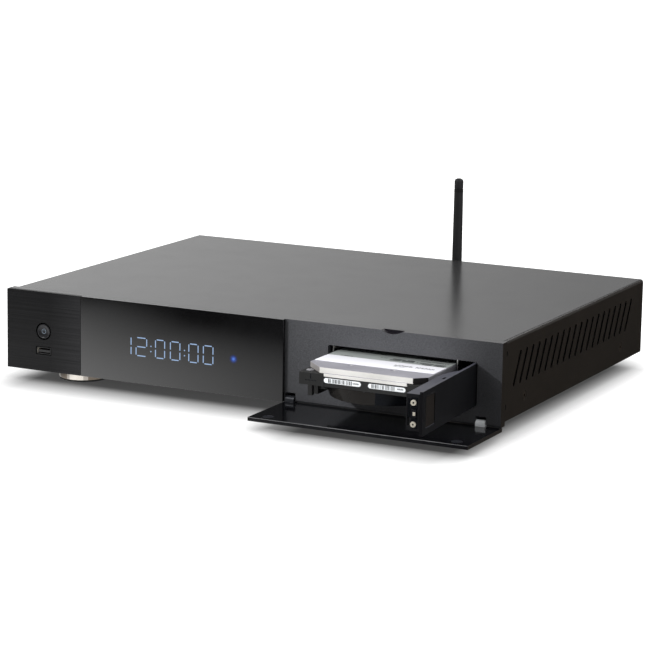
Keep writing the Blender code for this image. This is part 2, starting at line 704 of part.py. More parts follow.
cut(fboard, [(rect(USB_X - USB_HOLE_W / 2, USB_X + USB_HOLE_W / 2, USB_Z - USB_HOLE_H / 2,
                   USB_Z + USB_HOLE_H / 2), "y", board_y0 - OVER, board_y0 + BOARD_T + OVER)])
colour(fboard, (0.02, 0.11, 0.05))

# The flap, lying open, with its two hinge arms
flap = solid("flap", [(rrect(FLAP_Y0, FLAP_Y1, -FLAP_T, 0, FLAP_EDGE_R, 1), "x", FLAP_X0, WIDTH)])
arm_out = [(HINGE_Y - HINGE_R, -FLAP_T / 2)] + arc(HINGE_Y, HINGE_Z, HINGE_R, 180, 0, SMALL)
arm_out = [p for p in arm_out] + [(HINGE_Y + HINGE_R, HINGE_Z - HINGE_R / 2), (FLAP_Y1 - GAP, -FLAP_T / 2)]
add(flap, [(arm_out, "x", a0, a1) for a0, a1 in arms])
bores = [(disc(HINGE_Y, HINGE_Z, PIN_R + GAP / 2, SMALL), "x", a0 - OVER, a1 + OVER) for a0, a1 in arms]
disc_x = (FLAP_X0 + DISC_IN, WIDTH - DISC_IN)
bores += [(disc(x, HINGE_Y - DISC_Y, DISC_R + GAP / 2, FINE), "z", -DISC_T - GAP, OVER) for x in disc_x]
cut(flap, bores)
colour(flap, (0.01, 0.01, 0.012), 0.0, 0.05)
for side, x, (a0, a1) in zip(("left", "right"), disc_x, arms):
    colour(solid("flap_disc_" + side, [(disc(x, HINGE_Y - DISC_Y, DISC_R, FINE), "z", -DISC_T, 0)]),
           (0.35, 0.37, 0.42), 0.8, 0.3)
    colour(solid("flap_pin_" + side, [(disc(HINGE_Y, HINGE_Z, PIN_R - GAP / 2, SMALL), "x",
                                       a0 - ARM_NOTCH_SIDE - PIN_END, a1 + ARM_NOTCH_SIDE + PIN_END)]),
           (0.6, 0.6, 0.6), 1.0, 0.3)

# Case
outer = ([(COVER_X1, COVER_Z0)] + arc(COVER_X1 - COVER_R, COVER_Z1 - COVER_R, COVER_R, 0, 90, 6)
         + arc(COVER_X0 + COVER_R, COVER_Z1 - COVER_R, COVER_R, 90, 180, 6) + [(COVER_X0, COVER_Z0)])
ri = COVER_R - COVER_T
inner = ([(COVER_X0 + COVER_T, COVER_Z0)]
         + arc(COVER_X0 + COVER_R, COVER_Z1 - COVER_R, ri, 180, 90, 6)
         + arc(COVER_X1 - COVER_R, COVER_Z1 - COVER_R, ri, 90, 0, 6) + [(COVER_X1 - COVER_T, COVER_Z0)])
cover = solid("top_cover", [(outer + inner, "y", COVER_Y0, COVER_Y1)])


def slot(y0):
    lean = math.degrees(math.atan2(SLOT_RISE, SLOT_LEAN))
    r = SLOT_W / 2
    return (arc(y0 + SLOT_LEAN, SLOT_Z0 + SLOT_RISE, r, lean - 90, lean + 90, 4)
            + arc(y0, SLOT_Z0, r, lean + 90, lean + 270, 4))


cut(cover, [(slot(SLOT_Y0 + SLOT_PITCH * i), "x", -OVER, WIDTH + OVER) for i in range(SLOTS)])
edge_y = COVER_Y0 + EDGE_SCREW_Y
big = [(y, z, SCREW_HEAD_R, SCREW_SHANK_R) for y, z in SIDE_SCREWS]
small = [(edge_y, z, SCREW_SMALL_R, SCREW_SMALL_SHANK_R) for z in EDGE_SCREW_Z]


def countersunk(name, row, side, grow, reach, cutter, over):
    """One countersunk screw, or its seat, in a side of the cover."""
    y, z, head, shank = row
    tall = [(0, over), (head + grow, over), (head + grow, -GAP / 2), (shank + grow, -COVER_T), (shank + grow, -reach),
            (0, -reach)]
    face = COVER_X1 if side > 0 else COVER_X0
    return lathe(name, [(r, side * h) for r, h in tall], Vector((face, y, z)), "x",
                 FINE if head > SCREW_SMALL_R else MID, cutter)


def joined(name, obs):
    """Several cutters as one."""
    bm = bmesh.new()
    for ob in obs:
        bm.from_mesh(ob.data)
        bpy.data.objects.remove(ob)
    mesh = bpy.data.meshes.new(name)
    bm.to_mesh(mesh)
    bm.free()
    return link(bpy.data.objects.new(name, mesh), True)


seats = [countersunk("seat", row, side, GAP / 2, SCREW_L, True, OVER) for row in big + small for side in (-1, 1)]
boolean(cover, joined("cover_seats", seats), "DIFFERENCE")
colour(cover, (0.2, 0.2, 0.205), 0.4, 0.4)

pan_u = [(PAN_X0, PAN_Z0), (PAN_X1, PAN_Z0), (PAN_X1, PAN_Z0 + PAN_POST_H), (PAN_X1 - PAN_T, PAN_Z0 + PAN_POST_H),
         (PAN_X1 - PAN_T, PAN_TOP), (PAN_X0 + PAN_T, PAN_TOP), (PAN_X0 + PAN_T, PAN_Z0 + PAN_POST_H),
         (PAN_X0, PAN_Z0 + PAN_POST_H)]
pan = solid("base_pan", [(pan_u, "y", COVER_Y0, PAN_Y1)])
feet = [(x, y) for x in (FOOT_X, WIDTH - FOOT_X) for y in (FOOT_Y0, FOOT_Y1)]
pan_cuts = [(rect(COVER_Y0 + PAN_POST_L, PAN_Y1 - PAN_POST_L, PAN_Z0 + PAN_SIDE_H, HEIGHT + OVER), "x",
             -OVER, WIDTH + OVER)]
for y, z, head, shank in big + small:
    pan_cuts.append((disc(y, z, shank + GAP, SMALL), "x", -OVER, PAN_X0 + PAN_T + OVER))
    pan_cuts.append((disc(y, z, shank + GAP, SMALL), "x", PAN_X1 - PAN_T - OVER, WIDTH + OVER))
cut(pan, pan_cuts)
colour(pan, (0.3, 0.3, 0.31), 0.7, 0.4)
for row, end in zip(big, ("front", "rear")):
    for hand, side in (("left", -1), ("right", 1)):
        colour(countersunk("side_screw_%s_%s" % (end, hand), row, side, 0, SCREW_L - OVER, False, 0),
               (0.25, 0.25, 0.25), 0.8, 0.3)

# Rear panel with its sockets
rear = solid("rear_panel", [(rect(PAN_X0, PAN_X1, PAN_TOP + GAP, PAN_Z0 + PAN_POST_H), "y", REAR_Y0, REAR_Y1)])
sock_z0 = BOARD_Z1 + GAP
rear_cuts = []


def window(x0, x1, z0, z1):
    rear_cuts.append((rect(x0 - GAP, x1 + GAP, z0 - GAP, z1 + GAP), "y", REAR_Y0 - OVER, REAR_Y1 + OVER))


hdmi_out = []
for cx in HDMI_X:
    window(cx - HDMI_W / 2, cx + HDMI_W / 2, sock_z0, sock_z0 + HDMI_H)
    hdmi_out.append((rect(cx - HDMI_W / 2, cx + HDMI_W / 2, sock_z0, sock_z0 + HDMI_H), "y",
                     REAR_Y1 + HDMI_OUT - HDMI_L, REAR_Y1 + HDMI_OUT))
hdmi = solid("hdmi_socket", hdmi_out)
mouth = []
for cx in HDMI_X:
    z0, z1 = sock_z0 + USB_WALL, sock_z0 + HDMI_H - USB_WALL
    half, low = HDMI_W / 2 - USB_WALL, HDMI_LOW_W / 2
    mouth.append(([(cx - low, z0), (cx + low, z0), (cx + half, z0 + HDMI_STEP), (cx + half, z1),
                   (cx - half, z1), (cx - half, z0 + HDMI_STEP)], "y",
                  REAR_Y1 + HDMI_OUT - HDMI_L + OVER, REAR_Y1 + HDMI_OUT + OVER))
cut(hdmi, mouth)
colour(hdmi, (0.6, 0.6, 0.6), 0.9, 0.3)

stack_z1 = sock_z0 + USB_H + RUSB_PITCH
window(RUSB_X - USB_W / 2, RUSB_X + USB_W / 2, sock_z0, stack_z1)
usb_y1 = REAR_Y1 + HDMI_OUT
stack = solid("rear_usb", [(rrect(RUSB_X - USB_W / 2, RUSB_X + USB_W / 2, sock_z0, stack_z1, USB_R, 2), "y",
                            usb_y1 - USB_L, usb_y1)])
mouths, tongues = [], []
for i in range(2):
    z0 = sock_z0 + RUSB_PITCH * i + USB_WALL
    mouths.append((rect(RUSB_X - USB_W / 2 + USB_WALL, RUSB_X + USB_W / 2 - USB_WALL, z0,
                        z0 + USB_H - USB_WALL - USB_WALL), "y", usb_y1 - USB_L + USB_WALL, usb_y1 + OVER))
    tongues.append((rect(RUSB_X - USB_W / 2 + USB_WALL + TONGUE_SIDE, RUSB_X + USB_W / 2 - USB_WALL - TONGUE_SIDE,
                         z0 + TONGUE_RISE, z0 + TONGUE_RISE + TONGUE_T), "y", usb_y1 - USB_L + USB_WALL / 2,
                    usb_y1 - USB_WALL))
cut(stack, mouths)
add(stack, tongues, "_tongues")
colour(stack, (0.6, 0.6, 0.6), 0.9, 0.3)

window(LAN_X - LAN_W / 2, LAN_X + LAN_W / 2, sock_z0, sock_z0 + LAN_H)
lan = solid("lan_socket", [(rect(LAN_X - LAN_W / 2, LAN_X + LAN_W / 2, sock_z0, sock_z0 + LAN_H), "y",
                            REAR_Y1 + LAN_OUT - LAN_L, REAR_Y1 + LAN_OUT)])
cut(lan, [(rect(LAN_X - LAN_HOLE_W / 2, LAN_X + LAN_HOLE_W / 2, sock_z0 + LAN_SILL,
                sock_z0 + LAN_SILL + LAN_HOLE_H), "y", REAR_Y1 + LAN_OUT - LAN_DEEP, REAR_Y1 + LAN_OUT + OVER)])
colour(lan, (0.6, 0.6, 0.6), 0.9, 0.3)

jack_x1 = JACK_X0 + JACK_PITCH * (JACK_COLS - 1)
jack_pad = JACK_R + GAP
block = solid("audio_jacks", [(rect(JACK_X0 - jack_pad, jack_x1 + jack_pad, sock_z0, JACK_Z[1] + jack_pad), "y",
                              REAR_Y0 - GAP - JACK_BLOCK_L, REAR_Y0 - GAP)])
jacks, jack_bores = [], []
for i in range(JACK_COLS):
    for z in JACK_Z:
        cx = JACK_X0 + JACK_PITCH * i
        rear_cuts.append((disc(cx, z, JACK_R + GAP, MID), "y", REAR_Y0 - OVER, REAR_Y1 + OVER))
        jacks.append((disc(cx, z, JACK_R, MID), "y", REAR_Y0 - OVER, REAR_Y1 + JACK_L))
        jack_bores.append((disc(cx, z, JACK_BORE_R, SMALL), "y", REAR_Y1 + OVER, REAR_Y1 + JACK_L + OVER))
add(block, jacks)
cut(block, jack_bores)
colour(block, (0.5, 0.42, 0.2), 0.9, 0.3)

window(OPT_X - OPT_W / 2, OPT_X + OPT_W / 2, sock_z0, sock_z0 + OPT_H)
opt = solid("optical_socket", [(rect(OPT_X - OPT_W / 2, OPT_X + OPT_W / 2, sock_z0, sock_z0 + OPT_H), "y",
                                REAR_Y1 + OPT_OUT - OPT_L, REAR_Y1 + OPT_OUT)])
oz = sock_z0 + OPT_H / 2
cut(opt, [(rect(OPT_X - OPT_HOLE / 2, OPT_X + OPT_HOLE / 2, oz - OPT_HOLE / 2, oz + OPT_HOLE / 2), "y",
           REAR_Y1 + OPT_OUT - OPT_DEEP, REAR_Y1 + OPT_OUT + OVER)])
colour(opt, (0.02, 0.02, 0.02))

window(IEC_X - IEC_W / 2, IEC_X + IEC_W / 2, IEC_Z - IEC_H / 2, IEC_Z + IEC_H / 2)
iec = solid("mains_inlet", [(rect(IEC_X - IEC_W / 2, IEC_X + IEC_W / 2, IEC_Z - IEC_H / 2, IEC_Z + IEC_H / 2), "y",
                             REAR_Y0 - IEC_L, REAR_Y1 + GAP + IEC_FLANGE_T / 2)])
fw, fh = IEC_FLANGE_W / 2, IEC_FLANGE_H / 2
flange = [(IEC_X - fw, IEC_Z), (IEC_X - IEC_W / 2, IEC_Z - fh), (IEC_X + IEC_W / 2, IEC_Z - fh), (IEC_X + fw, IEC_Z),
          (IEC_X + IEC_W / 2, IEC_Z + fh), (IEC_X - IEC_W / 2, IEC_Z + fh)]
add(iec, [(flange, "y", REAR_Y1 + GAP, REAR_Y1 + GAP + IEC_FLANGE_T)])
hw, hh = IEC_HOLE_W / 2, IEC_HOLE_H / 2
iec_y = REAR_Y1 + GAP + IEC_FLANGE_T
iec_mouth = [(IEC_X - hw, IEC_Z - hh), (IEC_X + hw, IEC_Z - hh), (IEC_X + hw, IEC_Z + hh - IEC_CUT),
             (IEC_X + hw - IEC_CUT, IEC_Z + hh), (IEC_X - hw + IEC_CUT, IEC_Z + hh), (IEC_X - hw, IEC_Z + hh - IEC_CUT)]
iec_cuts = [(iec_mouth, "y", iec_y - IEC_DEEP, iec_y + OVER)]
for s in (-1, 1):
    cx = IEC_X + s * IEC_SCREW_X
    iec_cuts.append((disc(cx, IEC_Z, RSCREW_SHANK_R + GAP, SMALL), "y", REAR_Y1 - OVER, iec_y + OVER))
    rear_cuts.append((disc(cx, IEC_Z, RSCREW_SHANK_R + GAP, SMALL), "y", REAR_Y0 - OVER, REAR_Y1 + OVER))
cut(iec, iec_cuts)
blade_lo = iec_y - IEC_DEEP - GAP
blades = [(IEC_X - BLADE_X, IEC_Z - BLADE_UP), (IEC_X + BLADE_X, IEC_Z - BLADE_UP), (IEC_X, IEC_Z + BLADE_UP)]
add(iec, [(rect(x - BLADE_W / 2, x + BLADE_W / 2, z - BLADE_H / 2, z + BLADE_H / 2), "y",
           blade_lo, blade_lo + BLADE_L) for x, z in blades], "_blades")
colour(iec, (0.015, 0.015, 0.015), 0.0, 0.4)

for x, z in RSCREWS:
    rear_cuts.append((disc(x, z, RSCREW_SHANK_R + GAP, SMALL), "y", REAR_Y0 - OVER, REAR_Y1 + OVER))
rear_cuts.append((disc(ANT_X, ANT_Z, ANT_STUD_R + GAP, MID), "y", REAR_Y0 - OVER, REAR_Y1 + OVER))
cut(rear, rear_cuts)
colour(rear, (0.12, 0.12, 0.125), 0.5, 0.45)

# Feet
top = PAN_Z0 - GAP
low = -FOOT_DROP + PAD_T - PAD_SINK
for i, (x, y) in enumerate(feet):
    foot = lathe("foot_%d" % (i + 1), [(0, low + PAD_SINK), (PAD_R + GAP, low + PAD_SINK), (PAD_R + GAP, low),
                                       (FOOT_FOOT_R, low), (FOOT_R, low + FOOT_BAND_Z), (FOOT_R, top - GAP),
                                       (FOOT_R - GAP, top), (0, top)], Vector((x, y, 0)), "z", FINE + SMALL)
    colour(foot, (0.5, 0.46, 0.4), 1.0, 0.2)
    pad = solid("foot_pad_%d" % (i + 1), [(disc(x, y, PAD_R, FINE), "z", -FOOT_DROP, -FOOT_DROP + PAD_T - GAP)])
    colour(pad, (0.01, 0.01, 0.01), 0.0, 0.8)

# Rack: two bright guides inside a sheet cage, with a backplane behind the drive's home place
gl0 = DRIVE_X0 - GAP - GUIDE_T
gr1 = DRIVE_X1 + GAP + GUIDE_T
g_low = DRIVE_Z0 - GAP - GUIDE_T
g_top = WIN_Z0 + WIN_H - GAP
g_end = BACK_Y0 - GAP
for hand, x0, x1, lip in (("left", gl0, gl0 + GUIDE_T, 1), ("right", gr1 - GUIDE_T, gr1, -1)):
    if lip > 0:
        outline = [(x0, g_low), (x0 + GUIDE_LIP, g_low), (x0 + GUIDE_LIP, g_low + GUIDE_T),
                   (x1, g_low + GUIDE_T), (x1, g_top), (x0, g_top)]
    else:
        outline = [(x1, g_low), (x1, g_top), (x0, g_top), (x0, g_low + GUIDE_T),
                   (x1 - GUIDE_LIP, g_low + GUIDE_T), (x1 - GUIDE_LIP, g_low)]
    guide = solid("rack_guide_" + hand, [(outline, "y", GUIDE_Y0, g_end)])
    cut(guide, [(rect(GUIDE_Y0 - OVER, CAGE_Y0, g_low - OVER, g_low + GUIDE_T + GAP), "x", gl0 - OVER, gr1 + OVER)])
    colour(guide, (0.65, 0.65, 0.66), 1.0, 0.25)

c_x0 = gl0 - CAGE_SIDE - CAGE_T
c_x1 = gr1 + CAGE_SIDE + CAGE_T
c_z0 = g_low - GAP - CAGE_T
c_z1 = g_top + CAGE_HEAD
cage = solid("rack_cage", [(rect(c_x0, c_x1, c_z0, c_z1), "y", CAGE_Y0, BACK_Y0 + OVER)])
cut(cage, [(rect(c_x0 + CAGE_T, c_x1 - CAGE_T, c_z0 + CAGE_T, c_z1 - CAGE_T), "y", CAGE_Y0 - OVER,
            BACK_Y0 + OVER + OVER)])
tabs = []
for x0 in (c_x0 - CAGE_FOOT_W, c_x1 - CAGE_T / 2):
    for y0 in (CAGE_Y0 + CAGE_FOOT_W, BACK_Y0 - CAGE_FOOT_W - CAGE_FOOT_W):
        tabs.append((rect(x0, x0 + CAGE_FOOT_W + CAGE_T / 2, y0, y0 + CAGE_FOOT_W), "z", c_z0, c_z0 + CAGE_T))
add(cage, tabs)
tab_mids = [((o[1] + o[2]) / 2, (o[3] + o[4]) / 2) for o, _, _, _ in tabs]
boolean(cage, solid("cage_tab_holes", [(disc(x, y, RSCREW_SHANK_R + GAP, SMALL), "z", c_z0 - OVER,
                                        c_z0 + CAGE_T + OVER) for x, y in tab_mids], cutter=True), "DIFFERENCE")
colour(cage, (0.35, 0.35, 0.36), 0.9, 0.35)
rack_studs = [(disc(x, y, GROM_R, MID), "z", PAN_TOP - GAP, c_z0 - GAP) for x, y in tab_mids]
add(pan, rack_studs, "_rack_studs")
plane = solid("backplane", [(rect(c_x0 + CAGE_T + GAP, c_x1 - CAGE_T - GAP, c_z0 + CAGE_T + GAP,
                                  c_z1 - CAGE_T - GAP), "y", BACK_Y0, BACK_Y0 + BACK_T)])
colour(plane, (0.02, 0.12, 0.05))
sata_x0 = DRIVE_X0 + SATA_X
sata_z = DRIVE_Z0 + BELLY_Z0
sata_mid = sata_x0 + SATA_W / 2
plug = solid("backplane_socket", [(rect(sata_mid - PLUG_W / 2, sata_mid + PLUG_W / 2, sata_z - PLUG_H / 2,
                                        sata_z + PLUG_H / 2), "y", BACK_Y0 - GAP - PLUG_L, BACK_Y0 - GAP)])
blade_x0 = sata_x0 + OVER + (SATA_SLOT_W - PLUG_BLADE_W) / 2
add(plug, [(rect(blade_x0, blade_x0 + PLUG_BLADE_W, sata_z - PLUG_BLADE_H / 2, sata_z + PLUG_BLADE_H / 2), "y",
            BACK_Y0 - GAP - PLUG_L - PLUG_GAP - PLUG_BLADE_IN, BACK_Y0 - PLUG_L)], "_blade")
colour(plug, (0.02, 0.02, 0.02))

# Drive
dz = DRIVE_Z0
deck = solid("drive_casting", [(rect(DRIVE_X0, DRIVE_X1, DRIVE_Y0, DRIVE_Y1), "z", dz + DECK_Z0, dz + DECK_Z1)])
add(deck, [(rect(DRIVE_X0 + RAIL_W - GAP, DRIVE_X1 - RAIL_W + GAP, DRIVE_Y0 + BELLY_SET, DRIVE_Y1 - DPCB_L), "z",
            dz + BELLY_Z0, dz + DECK_Z0 + GAP)])
mid_x = (DRIVE_X0 + DRIVE_X1) / 2
add(deck, [(rect(DRIVE_X0 + RAIL_W - GAP, DRIVE_X1 - RAIL_W + GAP, DRIVE_Y1 - DPCB_L - GAP, DRIVE_Y1 - SATA_L - GAP),
            "z", dz + BELLY_Z0 + DPCB_T + GAP, dz + DECK_Z0 + GAP)], "_back")
add(deck, [(disc(mid_x, DRIVE_Y0 + BOWL_Y, BOWL_R, 2 * FINE), "z", dz + BOWL_Z0, dz + DECK_Z0 + GAP)], "_bowl")
add(deck, [(rect(DRIVE_X0, DRIVE_X0 + RAIL_W, DRIVE_Y0 + RAIL_SET, DRIVE_Y1), "z", dz, dz + DECK_Z0 + GAP),
           (rect(DRIVE_X1 - RAIL_W, DRIVE_X1, DRIVE_Y0 + RAIL_SET, DRIVE_Y1), "z", dz, dz + DECK_Z0 + GAP)], "_rails")
leg_l, leg_r, rib_x = DRIVE_X0 + RAIL_W + LEG_IN, DRIVE_X1 - RAIL_W - LEG_IN, mid_x + RIB_OFF
add(deck, [(rect(leg_l, leg_l + LEG_W, DRIVE_Y0, DRIVE_Y0 + LEG_D), "z", dz + BELLY_Z0, dz + DECK_Z0 + GAP),
           (rect(leg_r - LEG_W, leg_r, DRIVE_Y0, DRIVE_Y0 + LEG_D), "z", dz + BELLY_Z0, dz + DECK_Z0 + GAP),
           (rect(rib_x - RIB_W / 2, rib_x + RIB_W / 2, DRIVE_Y0, DRIVE_Y0 + LEG_D), "z",
            dz + RIB_Z0, dz + DECK_Z0 + GAP)], "_legs")
lip_x0, lip_x1 = DRIVE_X0 + LID_SIDE + LIP_IN_L, DRIVE_X1 - LID_SIDE - LIP_IN_R
lip_y0 = DRIVE_Y0 + LID_FRONT - LIP_OUT
cut(deck, [(rect(lip_x0 - GAP, lip_x1 + GAP, DRIVE_Y0 - OVER, lip_y0 + LIP_T + GAP), "z",
            dz + DECK_Z1 - LIP_DOWN, dz + DECK_Z1 + OVER)])
cut(deck, [(disc(DRIVE_Y0 + y, dz + DHOLE_Z, DHOLE_R, SMALL), "x", x0, x1) for y in DHOLES
           for x0, x1 in ((DRIVE_X0 - OVER, DRIVE_X0 + DHOLE_DEPTH), (DRIVE_X1 - DHOLE_DEPTH, DRIVE_X1 + OVER))])
colour(deck, (0.04, 0.04, 0.042), 0.3, 0.5)


lx0, lx1 = DRIVE_X0 + LID_SIDE, DRIVE_X1 - LID_SIDE
ly0, ly1 = DRIVE_Y0 + LID_FRONT, DRIVE_Y1 - LID_FRONT
lid_ob = solid("drive_lid", [([(lx0 + LID_CUT_L, ly0), (lx1 - LID_CUT_R, ly0), (lx1, ly0 + LID_CUT_R), (lx1, ly1),
                               (lx0, ly1), (lx0, ly0 + LID_CUT_L)], "z", dz + DECK_Z1 + GAP, DRIVE_Z1 - LABEL_T)])
add(lid_ob, [(rect(lip_x0, lip_x1, lip_y0, lip_y0 + LIP_T), "z",
              dz + DECK_Z1 + GAP - LIP_DOWN, dz + DECK_Z1 + GAP + GAP)])
cut(lid_ob, [(disc(mid_x + s * LID_DIMPLE_X, DRIVE_Y0 + LID_FRONT + LID_DIMPLE_Y, LID_DIMPLE_R, MID), "z",
              DRIVE_Z1 - LABEL_T - LID_DIMPLE_T, DRIVE_Z1 + OVER) for s in (-1, 1)])
soften(lid_ob, GAP, 1)
colour(lid_ob, (0.62, 0.62, 0.63), 0.9, 0.3)
label = solid("drive_label", [(rrect(DRIVE_X0 + LID_SIDE + LABEL_SIDE, DRIVE_X1 - LID_SIDE - LABEL_SIDE,
                                     DRIVE_Y0 + LABEL_SET, DRIVE_Y1 - LABEL_END, LID_SIDE, 2), "z",
                              DRIVE_Z1 - LABEL_T + GAP / 2, DRIVE_Z1 + GAP / 2)])
colour(label, (0.45, 0.48, 0.45), 0.0, 0.5)
dpcb = solid("drive_board", [(rect(DRIVE_X0 + RAIL_W + DPCB_SIDE, DRIVE_X1 - RAIL_W - DPCB_SIDE,
                                   DRIVE_Y1 - DPCB_L + DPCB_END, DRIVE_Y1 - SATA_L - GAP), "z",
                              dz + BELLY_Z0, dz + BELLY_Z0 + DPCB_T)])
colour(dpcb, (0.02, 0.1, 0.06))
dplug = solid("drive_connector", [(rect(sata_x0, sata_x0 + SATA_W, DRIVE_Y1 - SATA_L, DRIVE_Y1 - GAP), "z",
                                   dz + BELLY_Z0 - SATA_H / 2, dz + BELLY_Z0 + SATA_H / 2)])
cut(dplug, [(rect(sata_x0 + OVER, sata_x0 + OVER + SATA_SLOT_W, dz + BELLY_Z0 - SATA_SLOT_H / 2,
                  dz + BELLY_Z0 + SATA_SLOT_H / 2), "y", DRIVE_Y1 - SATA_L / 2, DRIVE_Y1 + OVER)])
colour(dplug, (0.02, 0.02, 0.02))

# Rack door, drawn square to the front and turned about its hinge line
out_x = DOOR_X + DOOR_OUT
in_x = out_x - DOOR_PLATE_T
tip_y = DOOR_Y - DOOR_L
door = solid("rack_door", [(rect(in_x, out_x, tip_y, DOOR_Y), "z", DOOR_Z0, DOOR_Z0 + DOOR_H)])
add(door, [(disc(DOOR_X, DOOR_Y, DOOR_BARREL_R, MID), "z", DOOR_Z0, DOOR_Z0 + DOOR_H)])
pad_y0 = tip_y + PADDLE_IN
pad_z0 = DOOR_Z0 + DOOR_H / 2 - PADDLE_H / 2
door_cuts = [(rrect(pad_y0 - GAP, pad_y0 + PADDLE_L + GAP, pad_z0 - GAP, pad_z0 + PADDLE_H + GAP, PADDLE_R), "x",
              in_x - OVER, out_x + OVER),
             (disc(DOOR_X, DOOR_Y, DOOR_PIN_R + GAP / 2, SMALL), "z", DOOR_Z0 - OVER, DOOR_Z0 + DOOR_H + OVER)]
cut(door, door_cuts)
colour(door, (0.012, 0.012, 0.013), 0.0, 0.25)
core_x1 = in_x - GAP
thick = core_x1 - DOOR_BODY_T
b0 = DOOR_BODY_Z0
b1 = DOOR_BODY_Z0 + DOOR_BODY_H
end_y = tip_y + DOOR_END_SET
span = DOOR_THICK_AT - DOOR_THIN_AT
curve_shares = ((1.0, 1.0), (0.72, 0.93), (0.45, 0.76), (0.22, 0.52), (0.0, 0.24))
profile = [(core_x1, end_y), (thick, end_y)]
profile += [(core_x1 - DOOR_BODY_T * b, DOOR_Y - DOOR_THIN_AT - span * a) for a, b in curve_shares]
profile += [(core_x1 - GAP, DOOR_Y - DOOR_TOE_AT), (core_x1, DOOR_Y - DOOR_TOE_AT)]
core = solid("rack_door_body", [(profile, "z", b0, b1)])
tz = DOOR_Z0 + DOOR_H / 2
ty0 = end_y - TONGUE_OUT
tx = out_x - TONGUE_DEPTH
slot_x = out_x - DSLOT_AT
core_cuts = [
    (rrect(pad_y0 - GAP, pad_y0 + PADDLE_L + GAP, pad_z0 - GAP, pad_z0 + PADDLE_H + GAP, PADDLE_R), "x",
     core_x1 - PADDLE_T + DOOR_PLATE_T - PADDLE_TRAVEL - GAP, core_x1 + OVER),
    (rect(slot_x - DSLOT_W / 2, slot_x + DSLOT_W / 2, end_y - OVER, end_y + DSLOT_DEEP), "z",
     b1 - DSLOT_UP - DSLOT_H, b1 - DSLOT_UP)]
cut(core, core_cuts)
more = [
    (rect(tx - TONGUE_W / 2 - GAP, tx + TONGUE_W / 2 + GAP, end_y - OVER, ty0 + TONGUE_L + TONGUE_TRAVEL + GAP), "z",
     tz - TONGUE_H / 2 - GAP, tz + TONGUE_H / 2 + GAP)]
for s in (-1, 1):
    more.append((disc(tx, tz + s * ENDSCREW_UP, ENDSCREW_SHANK_R + GAP / 2, SMALL), "y", end_y - OVER,
                 end_y + ENDSCREW_L))
more.append((rrect(core_x1 - OVAL_W - DOOR_PLATE_T, core_x1 - DOOR_PLATE_T, DOOR_Y - OVAL_AT - OVAL_L,
                   DOOR_Y - OVAL_AT, OVAL_W / 2 - GAP / 2, 4), "z", b1 - OVAL_DEEP, b1 + OVER))
boolean(core, solid("rack_door_body_bores", more, cutter=True), "DIFFERENCE")
colour(core, (0.02, 0.02, 0.022), 0.0, 0.35)
paddle = solid("release_paddle", [(rrect(pad_y0, pad_y0 + PADDLE_L, pad_z0, pad_z0 + PADDLE_H, PADDLE_R), "x",
                                   out_x - PADDLE_SINK - PADDLE_T, out_x - PADDLE_SINK)])
soften(paddle, GAP, 1)
colour(paddle, (0.03, 0.025, 0.022), 0.0, 0.4)
tongue = solid("latch_tongue", [([(tx - TONGUE_W / 2, ty0 + TONGUE_OUT), (tx + TONGUE_W / 2, ty0),
                                  (tx + TONGUE_W / 2, ty0 + TONGUE_L), (tx - TONGUE_W / 2, ty0 + TONGUE_L)], "z",
                                 tz - TONGUE_H / 2, tz + TONGUE_H / 2)])
colour(tongue, (0.5, 0.48, 0.44), 0.6, 0.35)
for place_name, s in (("lower", -1), ("upper", 1)):
    ends = lathe("door_screw_" + place_name,
                 [(0, ENDSCREW_L - OVER), (ENDSCREW_SHANK_R, ENDSCREW_L - OVER), (ENDSCREW_SHANK_R, 0),
                  (ENDSCREW_R, 0), (ENDSCREW_R, -ENDSCREW_T / 2), (ENDSCREW_R - GAP, -ENDSCREW_T), (0, -ENDSCREW_T)],
                 Vector((tx, end_y - GAP, tz + s * ENDSCREW_UP)), "y", MID)
    colour(ends, (0.5, 0.48, 0.44), 1.0, 0.3)
hinge = solid("door_hinge_pin", [(disc(DOOR_X, DOOR_Y, DOOR_PIN_R - GAP / 2, SMALL), "z",
                                  WIN_Z0 - DOOR_PIN_END, WIN_Z0 + WIN_H + DOOR_PIN_END)])
colour(hinge, (0.6, 0.6, 0.6), 1.0, 0.3)
boolean(panel, solid("panel_door_pin", [(disc(DOOR_X, DOOR_Y, DOOR_PIN_R + GAP / 2, SMALL), "z",
                                         WIN_Z0 - DOOR_PIN_END - GAP, WIN_Z0 + WIN_H + DOOR_PIN_END + GAP)],
                     cutter=True), "DIFFERENCE")

# Boards inside
main = solid("main_board", [(rect(MAIN_X0, MAIN_X0 + MAIN_W, REAR_Y0 - MAIN_END - MAIN_L, REAR_Y0 - MAIN_END), "z",
                             BOARD_Z0, BOARD_Z1)])
colour(main, (0.02, 0.11, 0.05))
psu_y1 = REAR_Y0 - PSU_END
psu = solid("power_board", [(rect(PSU_X0, PSU_X0 + PSU_W, psu_y1 - PSU_L, psu_y1), "z", BOARD_Z0, BOARD_Z1)])
colour(psu, (0.15, 0.1, 0.03))
posts = []
for x0, w, y0, l in ((MAIN_X0, MAIN_W, REAR_Y0 - MAIN_END - MAIN_L, MAIN_L), (PSU_X0, PSU_W, psu_y1 - PSU_L, PSU_L)):
    for x in (x0 + 2 * STANDOFF_R, x0 + w - 2 * STANDOFF_R):
        for y in (y0 + 2 * STANDOFF_R, y0 + l - 2 * STANDOFF_R):
            posts.append((disc(x, y, STANDOFF_R, 8), "z", PAN_TOP - GAP, BOARD_Z0 - GAP))
add(pan, posts, "_posts")
chip_x, chip_y = SINK_X + SINK_W / 2, SINK_Y + SINK_W / 2
sink_z = BOARD_Z1 + GAP + CHIP_T + GAP
pitch = (SINK_W - FIN_T) / (SINK_FINS - 1)
comb = [(SINK_X, sink_z), (SINK_X + SINK_W, sink_z)]
